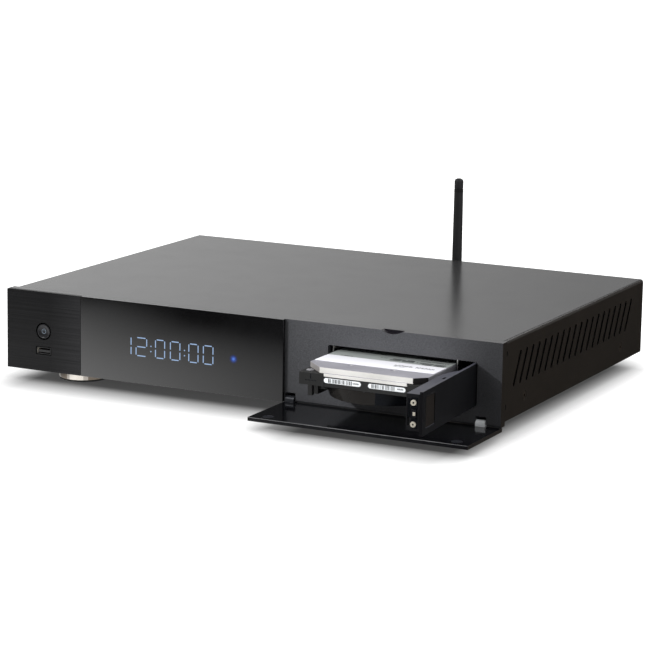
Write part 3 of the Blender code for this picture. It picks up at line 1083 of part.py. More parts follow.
for i in range(SINK_FINS - 1, -1, -1):
    x = SINK_X + pitch * i
    comb += [(x + FIN_T, sink_z + SINK_H), (x, sink_z + SINK_H)]
    if i:
        comb += [(x, sink_z + SINK_BASE), (x - pitch + FIN_T, sink_z + SINK_BASE)]
sink = solid("heat_sink", [(comb, "y", SINK_Y, SINK_Y + SINK_W)])
add(sink, [(rect(chip_x - CHIP_W / 2, chip_x + CHIP_W / 2, chip_y - CHIP_W / 2, chip_y + CHIP_W / 2),
            "z", BOARD_Z1 + GAP, sink_z + GAP)])
colour(sink, (0.3, 0.3, 0.3), 0.9, 0.4)
py = psu_y1 - PSU_L / 2
cx0 = PSU_X0 + PSU_W / 3
core_t = solid("power_transformer", [(rect(cx0 - CORE_W / 2, cx0 + CORE_W / 2, py - CORE_L / 2, py + CORE_L / 2), "z",
                                      BOARD_Z1 + GAP, BOARD_Z1 + GAP + CORE_H)])
soften(core_t, PIN_R, 1)
colour(core_t, (0.5, 0.4, 0.1), 0.0, 0.4)

# Antenna: jack in the rear panel, a collar that swivels on it, and the rod in the collar's fork
jack_y = REAR_Y1 + GAP
jack = solid("antenna_jack", [(disc(ANT_X, ANT_Z, ANT_NUT_R, 6), "y", jack_y, jack_y + ANT_NUT_T)])
add(jack, [(disc(ANT_X, ANT_Z, ANT_STUD_R, MID), "y", REAR_Y0 - ANT_STUD_IN, jack_y + ANT_STUD_L)])
colour(jack, (0.55, 0.45, 0.2), 1.0, 0.3)
col_y0 = jack_y + ANT_NUT_T + GAP
collar = solid("antenna_collar", [(disc(ANT_X, ANT_Z, ANT_COLLAR_R, FINE), "y", col_y0, col_y0 + ANT_COLLAR_L)])
cut(collar, [(disc(ANT_X, ANT_Z, ANT_STUD_R + GAP, MID), "y", col_y0 - OVER, jack_y + ANT_STUD_L + GAP)])
half = ANT_TONGUE_T / 2 + GAP
cheek = (arc(ANT_Y, ANT_Z, ANT_CHEEK_R, -90, 90, 8)
         + [(col_y0 + ANT_COLLAR_L - GAP, ANT_Z + ANT_CHEEK_R), (col_y0 + ANT_COLLAR_L - GAP, ANT_Z - ANT_CHEEK_R)])
add(collar, [(cheek, "x", ANT_X - half - ANT_CHEEK_T, ANT_X - half),
             (cheek, "x", ANT_X + half, ANT_X + half + ANT_CHEEK_T)])
boolean(collar, solid("collar_bore", [(disc(ANT_Y, ANT_Z, ANT_PIVOT_R + GAP / 2, SMALL), "x", ANT_X - half - ANT_CHEEK_T
                                       - OVER, ANT_X + half + ANT_CHEEK_T + OVER)], cutter=True), "DIFFERENCE")
colour(collar, (0.012, 0.012, 0.013), 0.0, 0.4)
rod_z0 = ANT_Z + ANT_ROD_START
gz = ANT_TOP_Z - ANT_GROOVE_DOWN
dome = ANT_ROD_R1 * 0.45
stations = [(0, rod_z0), (ANT_ROD_R0, rod_z0), (ANT_ROD_R1, gz - ANT_GROOVE_W / 2),
            (ANT_ROD_R1 - ANT_GROOVE_D, gz - ANT_GROOVE_W / 4), (ANT_ROD_R1 - ANT_GROOVE_D, gz + ANT_GROOVE_W / 4),
            (ANT_ROD_R1, gz + ANT_GROOVE_W / 2), (ANT_ROD_R1, ANT_TOP_Z - ANT_ROD_R1 * 0.7),
            (ANT_ROD_R1 * 0.88, ANT_TOP_Z - dome * 0.72), (ANT_ROD_R1 * 0.55, ANT_TOP_Z - dome * 0.18), (0, ANT_TOP_Z)]
rod = lathe("antenna_rod", stations, Vector((ANT_X, ANT_Y, 0)), "z", FINE)
tongue_out = (arc(ANT_Y, ANT_Z, ANT_CHEEK_R - GAP, 180, 360, 8)
              + [(ANT_Y + ANT_CHEEK_R - GAP, rod_z0 + GAP), (ANT_Y - ANT_CHEEK_R + GAP, rod_z0 + GAP)])
add(rod, [(tongue_out, "x", ANT_X - ANT_TONGUE_T / 2, ANT_X + ANT_TONGUE_T / 2)])
cut(rod, [(disc(ANT_Y, ANT_Z, ANT_PIVOT_R + GAP / 2, SMALL), "x", ANT_X - half, ANT_X + half)])
colour(rod, (0.012, 0.012, 0.013), 0.0, 0.4)
pivot = solid("antenna_pivot", [(disc(ANT_Y, ANT_Z, ANT_PIVOT_R - GAP / 2, SMALL), "x",
                                 ANT_X - half - ANT_CHEEK_T, ANT_X + half + ANT_CHEEK_T)])
colour(pivot, (0.4, 0.4, 0.4), 1.0, 0.3)

# Where the moving pieces turn or slide, and the whole centred over the floor
turn = (Matrix.Translation((DOOR_X, DOOR_Y, 0)) @ Matrix.Rotation(math.radians(DOOR_LEAN), 4, "Z")
        @ Matrix.Translation((-DOOR_X, -DOOR_Y, 0)))
corner_y = (turn @ Vector((in_x, tip_y, 0))).y
tongue_y = (turn @ Vector((tx + TONGUE_W / 2, ty0, 0))).y
front_y = min(corner_y, tongue_y)
back_y = ANT_Y + max(ANT_ROD_R0, ANT_CHEEK_R)


def empty(name, at, parent, lean=0.0):
    """A frame for a moving group: its place is on the joint's axis, in its parent's frame."""
    ob = bpy.data.objects.new(name, None)
    CAD.objects.link(ob)
    ob.parent = parent
    ob.location = at
    ob.rotation_euler = (0, 0, math.radians(lean))
    return ob


whole = empty("media_player_base", (-WIDTH / 2, -(front_y + back_y) / 2, FOOT_DROP), None)
hinge_at = Vector((DOOR_X, DOOR_Y, 0))
paddle_at = Vector((out_x, pad_y0 + PADDLE_L / 2, tz))
latch_at = Vector((tx, ty0, tz))
flap_axis = empty("flap_axis", (RECESS_X, HINGE_Y, HINGE_Z), whole)
door_axis = empty("rack_door_axis", hinge_at, whole, DOOR_LEAN)
paddle_axis = empty("release_axis", paddle_at - hinge_at, door_axis)
latch_axis = empty("latch_axis", latch_at - hinge_at, door_axis)
drive_axis = empty("drive_axis", (mid_x, DRIVE_Y0, DRIVE_Z0), whole)
button_axis = empty("power_button_axis", (BUTTON_X, BUTTON_SINK, BUTTON_Z), whole)
swivel_axis = empty("antenna_swivel_axis", (ANT_X, ANT_Y, ANT_Z), whole)
GROUPS = (
    (("flap", "flap_disc_left", "flap_disc_right"), flap_axis, Vector((RECESS_X, HINGE_Y, HINGE_Z))),
    (("rack_door", "rack_door_body", "door_screw_lower", "door_screw_upper"), door_axis, hinge_at),
    (("release_paddle",), paddle_axis, paddle_at),
    (("latch_tongue",), latch_axis, latch_at),
    (("drive_casting", "drive_lid", "drive_label", "drive_board", "drive_connector"), drive_axis,
     Vector((mid_x, DRIVE_Y0, DRIVE_Z0))),
    (("power_button",), button_axis, Vector((BUTTON_X, BUTTON_SINK, BUTTON_Z))),
    (("antenna_collar", "antenna_pivot", "antenna_rod"), swivel_axis, Vector((ANT_X, ANT_Y, ANT_Z))))
for ob in [o for o in bpy.data.objects if o.type == "MESH"]:
    owner, parent, at = CUTS.get(ob.name, ob.name), whole, Vector((0, 0, 0))
    for names, axis, here in GROUPS:
        if owner in names:
            parent, at = axis, here
    ob.data.transform(Matrix.Translation(-at))
    ob.parent = parent
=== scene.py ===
# %% [markdown]
# # A network media player with a drive rack behind its flap
# A low, full-width steel case on four turned feet. The left of its front carries a brushed plate
# and a dark display window, the right a flap that lies open before a rack for one 3.5 inch drive.
# The solid model gives every piece its place. This script dresses it: rounded edges, finishes,
# light and a camera, one cell at a time.

# %% Load the solid model
import json
import math
import bmesh
import bpy
from mathutils import Matrix, Vector

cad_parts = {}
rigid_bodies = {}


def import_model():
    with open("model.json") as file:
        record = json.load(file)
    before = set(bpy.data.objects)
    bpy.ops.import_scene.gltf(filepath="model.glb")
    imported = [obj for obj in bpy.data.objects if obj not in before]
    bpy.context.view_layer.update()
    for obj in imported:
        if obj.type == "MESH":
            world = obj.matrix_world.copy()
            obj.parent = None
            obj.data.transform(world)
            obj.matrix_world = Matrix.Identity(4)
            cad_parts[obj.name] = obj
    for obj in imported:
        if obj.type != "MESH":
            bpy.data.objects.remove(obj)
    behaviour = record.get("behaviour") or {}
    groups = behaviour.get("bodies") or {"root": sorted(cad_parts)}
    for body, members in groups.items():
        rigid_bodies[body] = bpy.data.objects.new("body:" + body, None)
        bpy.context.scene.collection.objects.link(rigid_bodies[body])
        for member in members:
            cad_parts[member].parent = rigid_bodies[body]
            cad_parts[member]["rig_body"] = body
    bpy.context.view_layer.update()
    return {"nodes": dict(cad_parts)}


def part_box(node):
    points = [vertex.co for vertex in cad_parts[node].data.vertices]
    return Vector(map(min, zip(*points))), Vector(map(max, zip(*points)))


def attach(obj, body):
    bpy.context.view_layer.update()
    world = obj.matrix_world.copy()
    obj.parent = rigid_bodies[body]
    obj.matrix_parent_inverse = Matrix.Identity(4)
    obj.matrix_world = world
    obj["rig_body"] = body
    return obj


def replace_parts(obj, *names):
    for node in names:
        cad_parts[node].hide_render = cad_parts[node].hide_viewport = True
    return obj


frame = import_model()
nodes = frame["nodes"]
MM = 0.001
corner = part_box("brushed_plate")[0]  # lower left front corner of the front plate


def at(x, y, z):
    """Millimetres right, back and up from the front plate's lower left corner, in metres."""
    return corner + Vector((x, y, z)) * MM


# %% [markdown]
# ## Camera
# The photograph was taken from the right of the front and a little above, with a long lens, which
# keeps the case's edges nearly parallel. A long lens far away does the same here. The numbers
# come from matching the case's corners to the picture.

# %% Camera
YAW, PITCH, ROLL = math.radians(26.24), math.radians(11.33), math.radians(0.98)
EYE = Vector((0.9468, -1.8920, 0.4711))
ahead = Vector((-math.sin(YAW) * math.cos(PITCH), math.cos(YAW) * math.cos(PITCH), -math.sin(PITCH)))
side = Vector((math.cos(YAW), math.sin(YAW), 0.0))
over = side.cross(ahead)
right = side * math.cos(ROLL) + over * math.sin(ROLL)
up = over * math.cos(ROLL) - side * math.sin(ROLL)
lens = bpy.data.cameras.new("camera")
lens.sensor_width = 36.0
lens.lens = 147.85
lens.clip_start, lens.clip_end = 0.05, 60.0
camera = bpy.data.objects.new("camera", lens)
camera.matrix_world = Matrix.Translation(EYE) @ Matrix((right, up, -ahead)).transposed().to_4x4()
bpy.context.scene.collection.objects.link(camera)
bpy.context.scene.camera = camera
bpy.context.scene.view_settings.view_transform = "Standard"
print("camera", round(camera.location.length, 2), "m away,", lens.lens, "mm lens")

# %% [markdown]
# ## Making pieces
# Every new piece starts from a bmesh primitive and is shaped by bmesh operators. Small helpers
# cover most of them: a block with eased edges, a turned shape, a finished object that rides on
# its moving body, and a piece made of several blocks. One more takes a copy of a solid, joins its
# loose triangles and eases its sharp edges, because a knife-sharp edge never catches the light.


# %% Helpers for shapes
AXES = {"y": Matrix.Rotation(math.radians(-90), 4, "X"), "z": Matrix.Identity(4)}


def ease(bm, edges, width, segments=2):
    if width > 0 and edges:
        bmesh.ops.bevel(bm, geom=list(edges), offset=width * MM, offset_type="OFFSET", segments=segments,
                        profile=0.5, affect="EDGES", material=-1, clamp_overlap=True)


def block(bm, lo, hi, edge=0.0, segments=2):
    """A box between two corners in millimetres, with its edges eased."""
    a, b = at(*lo), at(*hi)
    put = Matrix.Translation((a + b) / 2) @ Matrix.Diagonal((b.x - a.x, b.y - a.y, b.z - a.z, 1))
    made = bmesh.ops.create_cube(bm, size=1, matrix=put)["verts"]
    ease(bm, {e for v in made for e in v.link_edges}, edge, segments)


def turned(bm, stations, middle, axis, steps):
    """A profile of (radius, height) in millimetres, spun once round its axis."""
    new = [bmesh.ops.create_vert(bm, co=(r * MM, 0, h * MM))["vert"][0] for r, h in stations]
    edges = [bm.edges.new((a, b)) for a, b in zip(new[:-1], new[1:])]
    bmesh.ops.spin(bm, geom=new + edges, cent=(0, 0, 0), axis=(0, 0, 1), angle=math.radians(360),
                   steps=steps, use_merge=True)
    faces = {f for v in new for f in v.link_faces}
    grown = set(faces)
    while grown:
        grown = {g for f in grown for e in f.edges for g in e.link_faces} - faces
        faces |= grown
    verts = {v for f in faces for v in f.verts}
    bmesh.ops.transform(bm, matrix=Matrix.Translation(at(*middle)) @ AXES[axis], verts=list(verts))
    bmesh.ops.remove_doubles(bm, verts=list(verts), dist=0.002 * MM)
    live = [f for f in faces if f.is_valid]
    bmesh.ops.recalc_face_normals(bm, faces=live)


def finished(name, bm, body, material):
    """The bmesh as a smooth-shaded piece that rides on its body."""
    mesh = bpy.data.meshes.new(name)
    bm.to_mesh(mesh)
    bm.free()
    mesh.shade_smooth()
    mesh.set_sharp_from_angle(angle=math.radians(35))
    ob = bpy.data.objects.new(name, mesh)
    bpy.context.scene.collection.objects.link(ob)
    for one in material if isinstance(material, list) else [material]:
        mesh.materials.append(one)
    even = ob.modifiers.new("even", "WEIGHTED_NORMAL")
    even.keep_sharp = True
    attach(ob, body)
    return ob


def blocks(name, body, material, boxes, edge=0.0, segments=2):
    """A piece made of several blocks, each given by its two corners."""
    bm = bmesh.new()
    for lo, hi in boxes:
        block(bm, lo, hi, edge, segments)
    return finished(name, bm, body, material)


def copied(node):
    """A bmesh of a solid with its loose triangles joined into whole faces."""
    bm = bmesh.new()
    bm.from_mesh(nodes[node].data)
    bmesh.ops.remove_doubles(bm, verts=bm.verts, dist=0.004 * MM)
    bmesh.ops.dissolve_limit(bm, angle_limit=math.radians(0.8), verts=bm.verts, edges=bm.edges,
                             use_dissolve_boundaries=False)
    return bm


def dressed(node, material, edge, shape=None):
    """A solid's own shape with its sharp edges eased, standing for the solid."""
    bm = copied(node)
    if shape:
        shape(bm)
    sharp = [e for e in bm.edges if len(e.link_faces) == 2 and e.calc_face_angle(0) > math.radians(40)]
    ease(bm, sharp, edge)
    body = nodes[node]["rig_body"]
    ob = finished(node + "_dressed", bm, body, material)
    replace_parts(ob, node)
    return ob


def repaint(ob, slot, test):
    """Gives the faces whose middle passes the test the material in that slot."""
    count = 0
    for face in ob.data.polygons:
        if test((face.center - corner) / MM, face.normal):
            face.material_index = slot
            count += 1
    return count


print("helpers ready")

# %% [markdown]
# ## Shared effects
# Real finishes are never one flat colour. Powder paint has a grain of tiny bumps, brushed metal has
# streaks that run one way, moulded plastic has a softer grain, and everything has patches that
# are a little duller from handling. Each effect is a node group, built once, and each material
# sets its own numbers on it.


# %% Node groups for grain, streaks and handling
def feed(tree, made, inputs):
    """Gives a node's inputs their values: a number, a colour or another node's output."""
    for key, value in inputs.items():
        if isinstance(value, bpy.types.NodeSocket):
            tree.links.new(value, made.inputs[key])
        else:
            made.inputs[key].default_value = value


def node(tree, kind, inputs=None, **settings):
    """A new node of a kind, with its settings and the values of its inputs."""
    made = tree.nodes.new(kind)
    for key, value in settings.items():
        setattr(made, key, value)
    feed(tree, made, inputs or {})
    return made


def noise(tree, place, scale, detail, rough=0.5):
    inputs = {"Vector": place, "Scale": scale, "Detail": detail, "Roughness": rough}
    return node(tree, "ShaderNodeTexNoise", inputs).outputs["Fac"]


def maths(tree, how, *values):
    return node(tree, "ShaderNodeMath", dict(enumerate(values)), operation=how).outputs[0]


def product(tree, first, *others):
    for other in others:
        first = maths(tree, "MULTIPLY", first, other)
    return first


def spread(tree, value, lo, hi, lo_out=0.0, hi_out=1.0):
    """Spreads what lies between two limits evenly over two others, and stays at them outside."""
    inputs = {"Value": value, "From Min": lo, "From Max": hi, "To Min": lo_out, "To Max": hi_out}
    return node(tree, "ShaderNodeMapRange", inputs).outputs["Result"]


def split(tree, place):
    """The three parts of a place, to be picked by X, Y or Z."""
    return node(tree, "ShaderNodeSeparateXYZ", {0: place}).outputs


def mixed(tree, share, first, second):
    """A colour between two. Sockets 6, 7 and 2 are a Mix node's two colours and its blend."""
    ends = [c if isinstance(c, bpy.types.NodeSocket) else (*c, 1) for c in (first, second)]
    return node(tree, "ShaderNodeMix", {0: share, 6: ends[0], 7: ends[1]}, data_type="RGBA").outputs[2]


def bumped(tree, height, depth, distance):
    inputs = {"Height": height, "Strength": depth, "Distance": distance}
    return node(tree, "ShaderNodeBump", inputs).outputs[0]


def effect(name, numbers, outputs):
    """A node group with a place, numbers to set and values to give, still to be wired."""
    tree = bpy.data.node_groups.new(name, "ShaderNodeTree")
    tree.interface.new_socket(name="Place", in_out="INPUT", socket_type="NodeSocketVector")
    for label, value in numbers.items():
        sock = tree.interface.new_socket(name=label, in_out="INPUT", socket_type="NodeSocketFloat")
        sock.default_value = value
    for label in outputs:
        tree.interface.new_socket(name=label, in_out="OUTPUT", socket_type="NodeSocketFloat")
    return tree, tree.nodes.new("NodeGroupInput").outputs, tree.nodes.new("NodeGroupOutput")


def shared(tree, group, inputs):
    """An effect's outputs inside a material."""
    return node(tree, "ShaderNodeGroup", inputs, node_tree=group).outputs


tree, given, gives = effect("surface_grain", {"Scale": 2500.0}, ("Height", "Patches"))
grain_group = tree
wide = product(tree, given["Scale"], 0.012)
feed(tree, gives, {"Height": noise(tree, given["Place"], given["Scale"], 3.0, 0.6),
                   "Patches": noise(tree, given["Place"], wide, 4.0, 0.55)})

tree, given, gives = effect("brushed_streaks", {"Along": 12.0, "Across": 2600.0}, ("Streak",))
streak_group = tree
scales = node(tree, "ShaderNodeCombineXYZ", {0: given["Along"], 1: given["Across"], 2: given["Across"]})
drawn = node(tree, "ShaderNodeVectorMath", {0: given["Place"], 1: scales.outputs[0]}, operation="MULTIPLY")
feed(tree, gives, {"Streak": noise(tree, drawn.outputs[0], 1.0, 3.0, 0.65)})

tree, given, gives = effect("handling_marks", {"Scale": 28.0}, ("Dull", "Scratch"))
touch_group = tree
smear = noise(tree, given["Place"], given["Scale"], 5.0, 0.62)
cells = {"Vector": given["Place"], "Scale": product(tree, given["Scale"], 1.7)}
wave = node(tree, "ShaderNodeTexVoronoi", cells, feature="DISTANCE_TO_EDGE")
thin = spread(tree, wave.outputs["Distance"], 0.0, 0.006, 1.0, 0.0)
gate = spread(tree, noise(tree, given["Place"], 90.0, 1.0), 0.58, 0.62)
feed(tree, gives, {"Dull": spread(tree, smear, 0.42, 0.68), "Scratch": product(tree, thin, gate)})
print(len(bpy.data.node_groups), "shared effects")

# %% [markdown]
# ## One recipe for plain finishes
# Paint, plastic, plated steel and bare aluminium differ mostly in numbers: colour, how rough,
# how metallic, how deep and how fine the grain, and whether it was brushed. One function wires
# the same nodes for all of them, so each finish is one readable call.


# %% The finish recipe
def blank(name):
    """A new material with its nodes, its Principled shader and the place on the object."""
    mat = bpy.data.materials.new(name)
    mat.use_nodes = True
    tree = mat.node_tree
    return mat, tree, tree.nodes["Principled BSDF"], node(tree, "ShaderNodeTexCoord").outputs["Object"]


def finish(name, colour, other, rough, metal, grain, depth, dull, streak=None, coat=0.0, level=0.5,
           aniso=0.0, fleck=False):
    """A Principled material with grain, patches or flecks, marks and, if brushed, streaks."""
    mat, tree, shader, place = blank(name)
    grit = shared(tree, grain_group, {"Place": place, "Scale": grain})
    marks = shared(tree, touch_group, {"Place": place})
    tint, height = grit["Patches"], grit["Height"]
    if fleck:
        tint = height
    if streak:
        brush = {"Place": place, "Along": streak[0], "Across": streak[1]}
        tint = height = shared(tree, streak_group, brush)["Streak"]
    smeared = maths(tree, "MULTIPLY_ADD", marks["Dull"], dull, rough)
    feed(tree, shader, {"Base Color": mixed(tree, spread(tree, tint, 0.3, 0.7), colour, other),
                        "Roughness": maths(tree, "MULTIPLY_ADD", marks["Scratch"], dull, smeared),
                        "Normal": bumped(tree, height, depth, 0.0002),
                        "Metallic": metal, "Coat Weight": coat, "Coat Roughness": 0.06,
                        "Specular IOR Level": level, "IOR": 1.5, "Anisotropic": aniso})
    return mat


def shaded(material, *slopes):
    """Paints light or shade into a finish along X: each slope is (from x, to x, from scale, to scale)."""
    tree = material.node_tree
    shader = tree.nodes["Principled BSDF"]
    colour = shader.inputs["Base Color"].links[0].from_socket
    along = split(tree, node(tree, "ShaderNodeTexCoord").outputs["Object"])["X"]
    for x0, x1, from_scale, to_scale in slopes:
        scale = spread(tree, along, at(x0, 0, 0).x, at(x1, 0, 0).x, from_scale, to_scale)
        colour = node(tree, "ShaderNodeVectorMath", {0: colour, "Scale": scale}, operation="SCALE").outputs[0]
    feed(tree, shader, {"Base Color": colour})


case_paint = finish("case_satin_paint", (0.022, 0.022, 0.0225), (0.026, 0.026, 0.0265),
                    0.22, 0, 2600, 0.06, 0.012)
# a darker, browner copy of the case paint: painted shade on sides and ends that face away from the light
side_shade_paint = finish("case_paint_painted_side_shade", (0.0125, 0.0093, 0.0066), (0.016, 0.012, 0.0088),
                    0.3, 0, 2600, 0.06, 0.03)
# near-black paint: painted shade for the case's inside, the slots' walls, the sheets behind the slots and the
# gap under the cover's front edge; the edge screws use it as plain black
shade_and_black_paint = finish("case_painted_shade_and_black", (0.0022, 0.0021, 0.002), (0.0034, 0.0032, 0.003),
                      0.55, 0, 2600, 0.06, 0.03, level=0.1)
scoop_shade_paint = finish("painted_scoop_shade", (0.007, 0.006, 0.0085), (0.0095, 0.008, 0.0115),
                     0.3, 0, 2600, 0.06, 0.03)
panel_paint = finish("recess_panel_anodised", (0.04, 0.041, 0.045), (0.072, 0.073, 0.079),
                     0.42, 0.15, 1100, 0.2, 0.02, fleck=True)
plate_brushed = finish("front_plate_brushed", (0.0055, 0.0055, 0.006), (0.0175, 0.0175, 0.0185),
                       0.34, 0.05, 3000, 0.3, 0.05, streak=(14.0, 2600.0), level=0.16, aniso=0.3)
# painted light: the brushed plate is a little brighter toward the window
shaded(plate_brushed, (40, 69, 1.0, 2.6))
# painted light and shade: the panel in the recess is brightest in its middle,
# darker at its left end and darkest at its right end
shaded(panel_paint, (235, 290, 1.0, 1.28), (375, 418, 1.0, 0.55))
flap_lacquer = finish("flap_black_lacquer", (0.0032, 0.0034, 0.0044), (0.0048, 0.005, 0.0064),
                      0.1, 0, 500, 0.02, 0.06, coat=0.25)
flap_rim_highlight = finish("flap_edge_painted_highlight", (0.1, 0.1, 0.103), (0.22, 0.22, 0.225), 0.34, 0.2, 900, 0.2, 0.06)
arm_painted_highlight = finish("right_arm_painted_highlight", (0.66, 0.68, 0.7), (0.84, 0.86, 0.88), 0.3, 0.2, 1500, 0.05, 0.06)
door_top = finish("rack_door_top_edge", (0.052, 0.053, 0.07), (0.066, 0.067, 0.086),
                  0.36, 0, 3600, 0.12, 0.06)
door_plastic = finish("rack_door_plastic", (0.005, 0.005, 0.0064), (0.0072, 0.0072, 0.009),
                      0.28, 0, 3600, 0.12, 0.06)
body_plastic = finish("rack_body_plastic", (0.009, 0.009, 0.011), (0.013, 0.013, 0.0155),
                      0.34, 0, 3400, 0.18, 0.06)
paddle_plastic = finish("release_plastic", (0.0105, 0.0078, 0.0062), (0.0145, 0.0108, 0.0086),
                        0.34, 0, 3600, 0.1, 0.06)
rod_plastic = finish("antenna_plastic", (0.019, 0.019, 0.0205), (0.026, 0.026, 0.0275),
                     0.38, 0, 3200, 0.1, 0.08)
socket_plastic = finish("socket_black_plastic", (0.01, 0.01, 0.011), (0.015, 0.015, 0.016),
                        0.34, 0, 3000, 0.1, 0.08)
foot_metal = finish("foot_champagne_metal", (0.64, 0.59, 0.53), (0.76, 0.72, 0.66), 0.22, 1, 2600, 0.05, 0.06)
foot_mid = finish("foot_champagne_mid", (0.36, 0.33, 0.3), (0.44, 0.41, 0.37), 0.22, 1, 2600, 0.05, 0.06)
foot_brown = finish("foot_champagne_shade", (0.15, 0.125, 0.1), (0.21, 0.18, 0.15), 0.22, 1, 2600, 0.05, 0.06)
foot_dark = finish("foot_champagne_dark", (0.012, 0.011, 0.01), (0.02, 0.018, 0.016),
                   0.3, 0.6, 2600, 0.05, 0.06)
rubber = finish("foot_rubber", (0.012, 0.012, 0.012), (0.018, 0.018, 0.018), 0.75, 0, 1800, 0.3, 0.1)
nickel = finish("socket_nickel", (0.55, 0.54, 0.52), (0.66, 0.65, 0.63), 0.24, 1, 1800, 0.06, 0.12)
gold = finish("contact_gold", (0.8, 0.56, 0.2), (0.88, 0.66, 0.28), 0.22, 1, 1800, 0.05, 0.1)
bright_steel = finish("guide_bright_steel", (0.66, 0.65, 0.62), (0.76, 0.75, 0.72),
                      0.24, 1, 1500, 0.05, 0.1, streak=(2600.0, 30.0))
screw_brown = finish("side_screw_bronzed", (0.02, 0.0145, 0.01), (0.03, 0.022, 0.0155),
                     0.34, 0.2, 2600, 0.08, 0.05)
screw_black = finish("screw_black_oxide", (0.012, 0.011, 0.011), (0.02, 0.018, 0.017),
                     0.34, 0.6, 2600, 0.08, 0.08)
lid_metal = finish("drive_lid_satin", (0.34, 0.335, 0.375), (0.43, 0.425, 0.47), 0.4, 0.4, 3400, 0.24, 0.06)
lid_front_highlight = finish("drive_lid_front_painted_highlight", (0.6, 0.59, 0.56), (0.82, 0.81, 0.78), 0.42, 0.2, 2200, 0.3, 0.05)
lid_cut_shade = finish("drive_lid_painted_cut_shade", (0.018, 0.017, 0.018), (0.03, 0.028, 0.029),
                      0.4, 0.2, 2200, 0.3, 0.05)
lid_cut_half_shade = finish("drive_lid_painted_cut_half_shade", (0.2, 0.185, 0.18), (0.28, 0.265, 0.26),
                      0.4, 0.3, 2200, 0.3, 0.05)
cast_paint = finish("drive_cast_paint", (0.017, 0.017, 0.017), (0.028, 0.028, 0.028),
                    0.44, 0.1, 1700, 0.35, 0.08)
screw_satin = finish("screw_satin_steel", (0.22, 0.22, 0.235), (0.3, 0.3, 0.315), 0.45, 0.3, 2600, 0.1, 0.08)
screw_bright = finish("screw_bright_nickel", (0.72, 0.67, 0.55), (0.84, 0.79, 0.68),
                      0.28, 0.35, 2600, 0.05, 0.08)
board_green = finish("board_green", (0.012, 0.075, 0.035), (0.016, 0.095, 0.045), 0.36, 0, 900, 0.1, 0.08)
board_blue = finish("drive_board_blue", (0.012, 0.03, 0.075), (0.016, 0.038, 0.09), 0.36, 0, 900, 0.1, 0.08)
board_tan = finish("power_board_tan", (0.28, 0.19, 0.08), (0.33, 0.23, 0.1), 0.5, 0, 900, 0.1, 0.08)
chip_epoxy = finish("chip_epoxy", (0.014, 0.014, 0.015), (0.02, 0.02, 0.021), 0.45, 0, 3200, 0.12, 0.08)
sink_metal = finish("heat_sink_anodised", (0.05, 0.05, 0.052), (0.075, 0.075, 0.078),
                    0.35, 0.8, 1500, 0.06, 0.08)
tape_yellow = finish("transformer_tape", (0.62, 0.46, 0.06), (0.7, 0.53, 0.09), 0.42, 0, 700, 0.08, 0.1)
# near-black: the display's own colour, also used as painted shade in slits
black_and_painted_shade = finish("black_and_painted_shade", (0.004, 0.005, 0.007), (0.007, 0.008, 0.011),
                       0.2, 0, 2000, 0.02, 0.05)
button_black = finish("button_anodised", (0.02, 0.02, 0.022), (0.032, 0.032, 0.035),
                      0.28, 0.5, 3200, 0.08, 0.05)
arm_lacquer_and_sheen = finish("left_arm_satin_with_painted_sheen", (0.022, 0.024, 0.029), (0.032, 0.034, 0.04),
                     0.26, 0.4, 2000, 0.04, 0.08)
disc_metal = finish("disc_plated_steel", (0.055, 0.058, 0.072), (0.075, 0.078, 0.094),
                    0.3, 0.7, 2400, 0.05, 0.08)
tongue_metal = finish("tongue_dark_steel", (0.008, 0.008, 0.011), (0.013, 0.013, 0.017),
                      0.3, 0.2, 2400, 0.06, 0.06)
bowl_paint = finish("drive_bowl_paint", (0.013, 0.012, 0.0115), (0.021, 0.0195, 0.018),
                    0.18, 0.1, 1200, 0.1, 0.08)
print_ink = finish("print_ink", (0.022, 0.023, 0.024), (0.04, 0.041, 0.042), 0.5, 0, 3000, 0.02, 0.04)
cage_metal = finish("cage_dark_steel", (0.03, 0.03, 0.032), (0.042, 0.042, 0.044), 0.4, 0.6, 900, 0.06, 0.1)
pan_metal = finish("pan_dark_zinc", (0.06, 0.06, 0.062), (0.08, 0.08, 0.083), 0.4, 0.4, 900, 0.08, 0.12)
usb_blue = finish("usb_tongue_blue", (0.01, 0.045, 0.3), (0.014, 0.06, 0.36), 0.36, 0, 3000, 0.04, 0.05)
lamp_green = finish("network_lamp_green", (0.03, 0.22, 0.06), (0.04, 0.28, 0.08), 0.2, 0, 1200, 0.02, 0.03)
lamp_amber = finish("network_lamp_amber", (0.42, 0.2, 0.02), (0.5, 0.25, 0.03), 0.2, 0, 1200, 0.02, 0.03)
ring_red, ring_white, ring_black, ring_yellow = (
    finish("phono_ring_" + tone, first, other, 0.35, 0, 2600, 0.04, 0.05) for tone, first, other in (
        ("red", (0.42, 0.015, 0.015), (0.50, 0.02, 0.02)), ("white", (0.66, 0.66, 0.64), (0.74, 0.74, 0.72)),
        ("black", (0.014, 0.014, 0.014), (0.020, 0.020, 0.020)),
        ("yellow", (0.62, 0.42, 0.02), (0.70, 0.50, 0.03))))
led_resin = finish("status_light_resin", (0.10, 0.2, 0.6), (0.12, 0.24, 0.68), 0.15, 0, 900, 0.02, 0.02)
can_sleeve = finish("capacitor_sleeve", (0.018, 0.018, 0.030), (0.026, 0.026, 0.040),
                    0.35, 0, 1500, 0.04, 0.05)
print(len(bpy.data.materials), "materials so far")

# %% [markdown]
# ## Finishes with a pattern of their own
# The display window is dark tinted acrylic. The clock's segments and the status light glow, and
# a glow is emission that fades towards its rim. The drive's paper label and its two stickers
# carry fine print, shown here as rows of unreadable marks made from noise, cut up along each row.


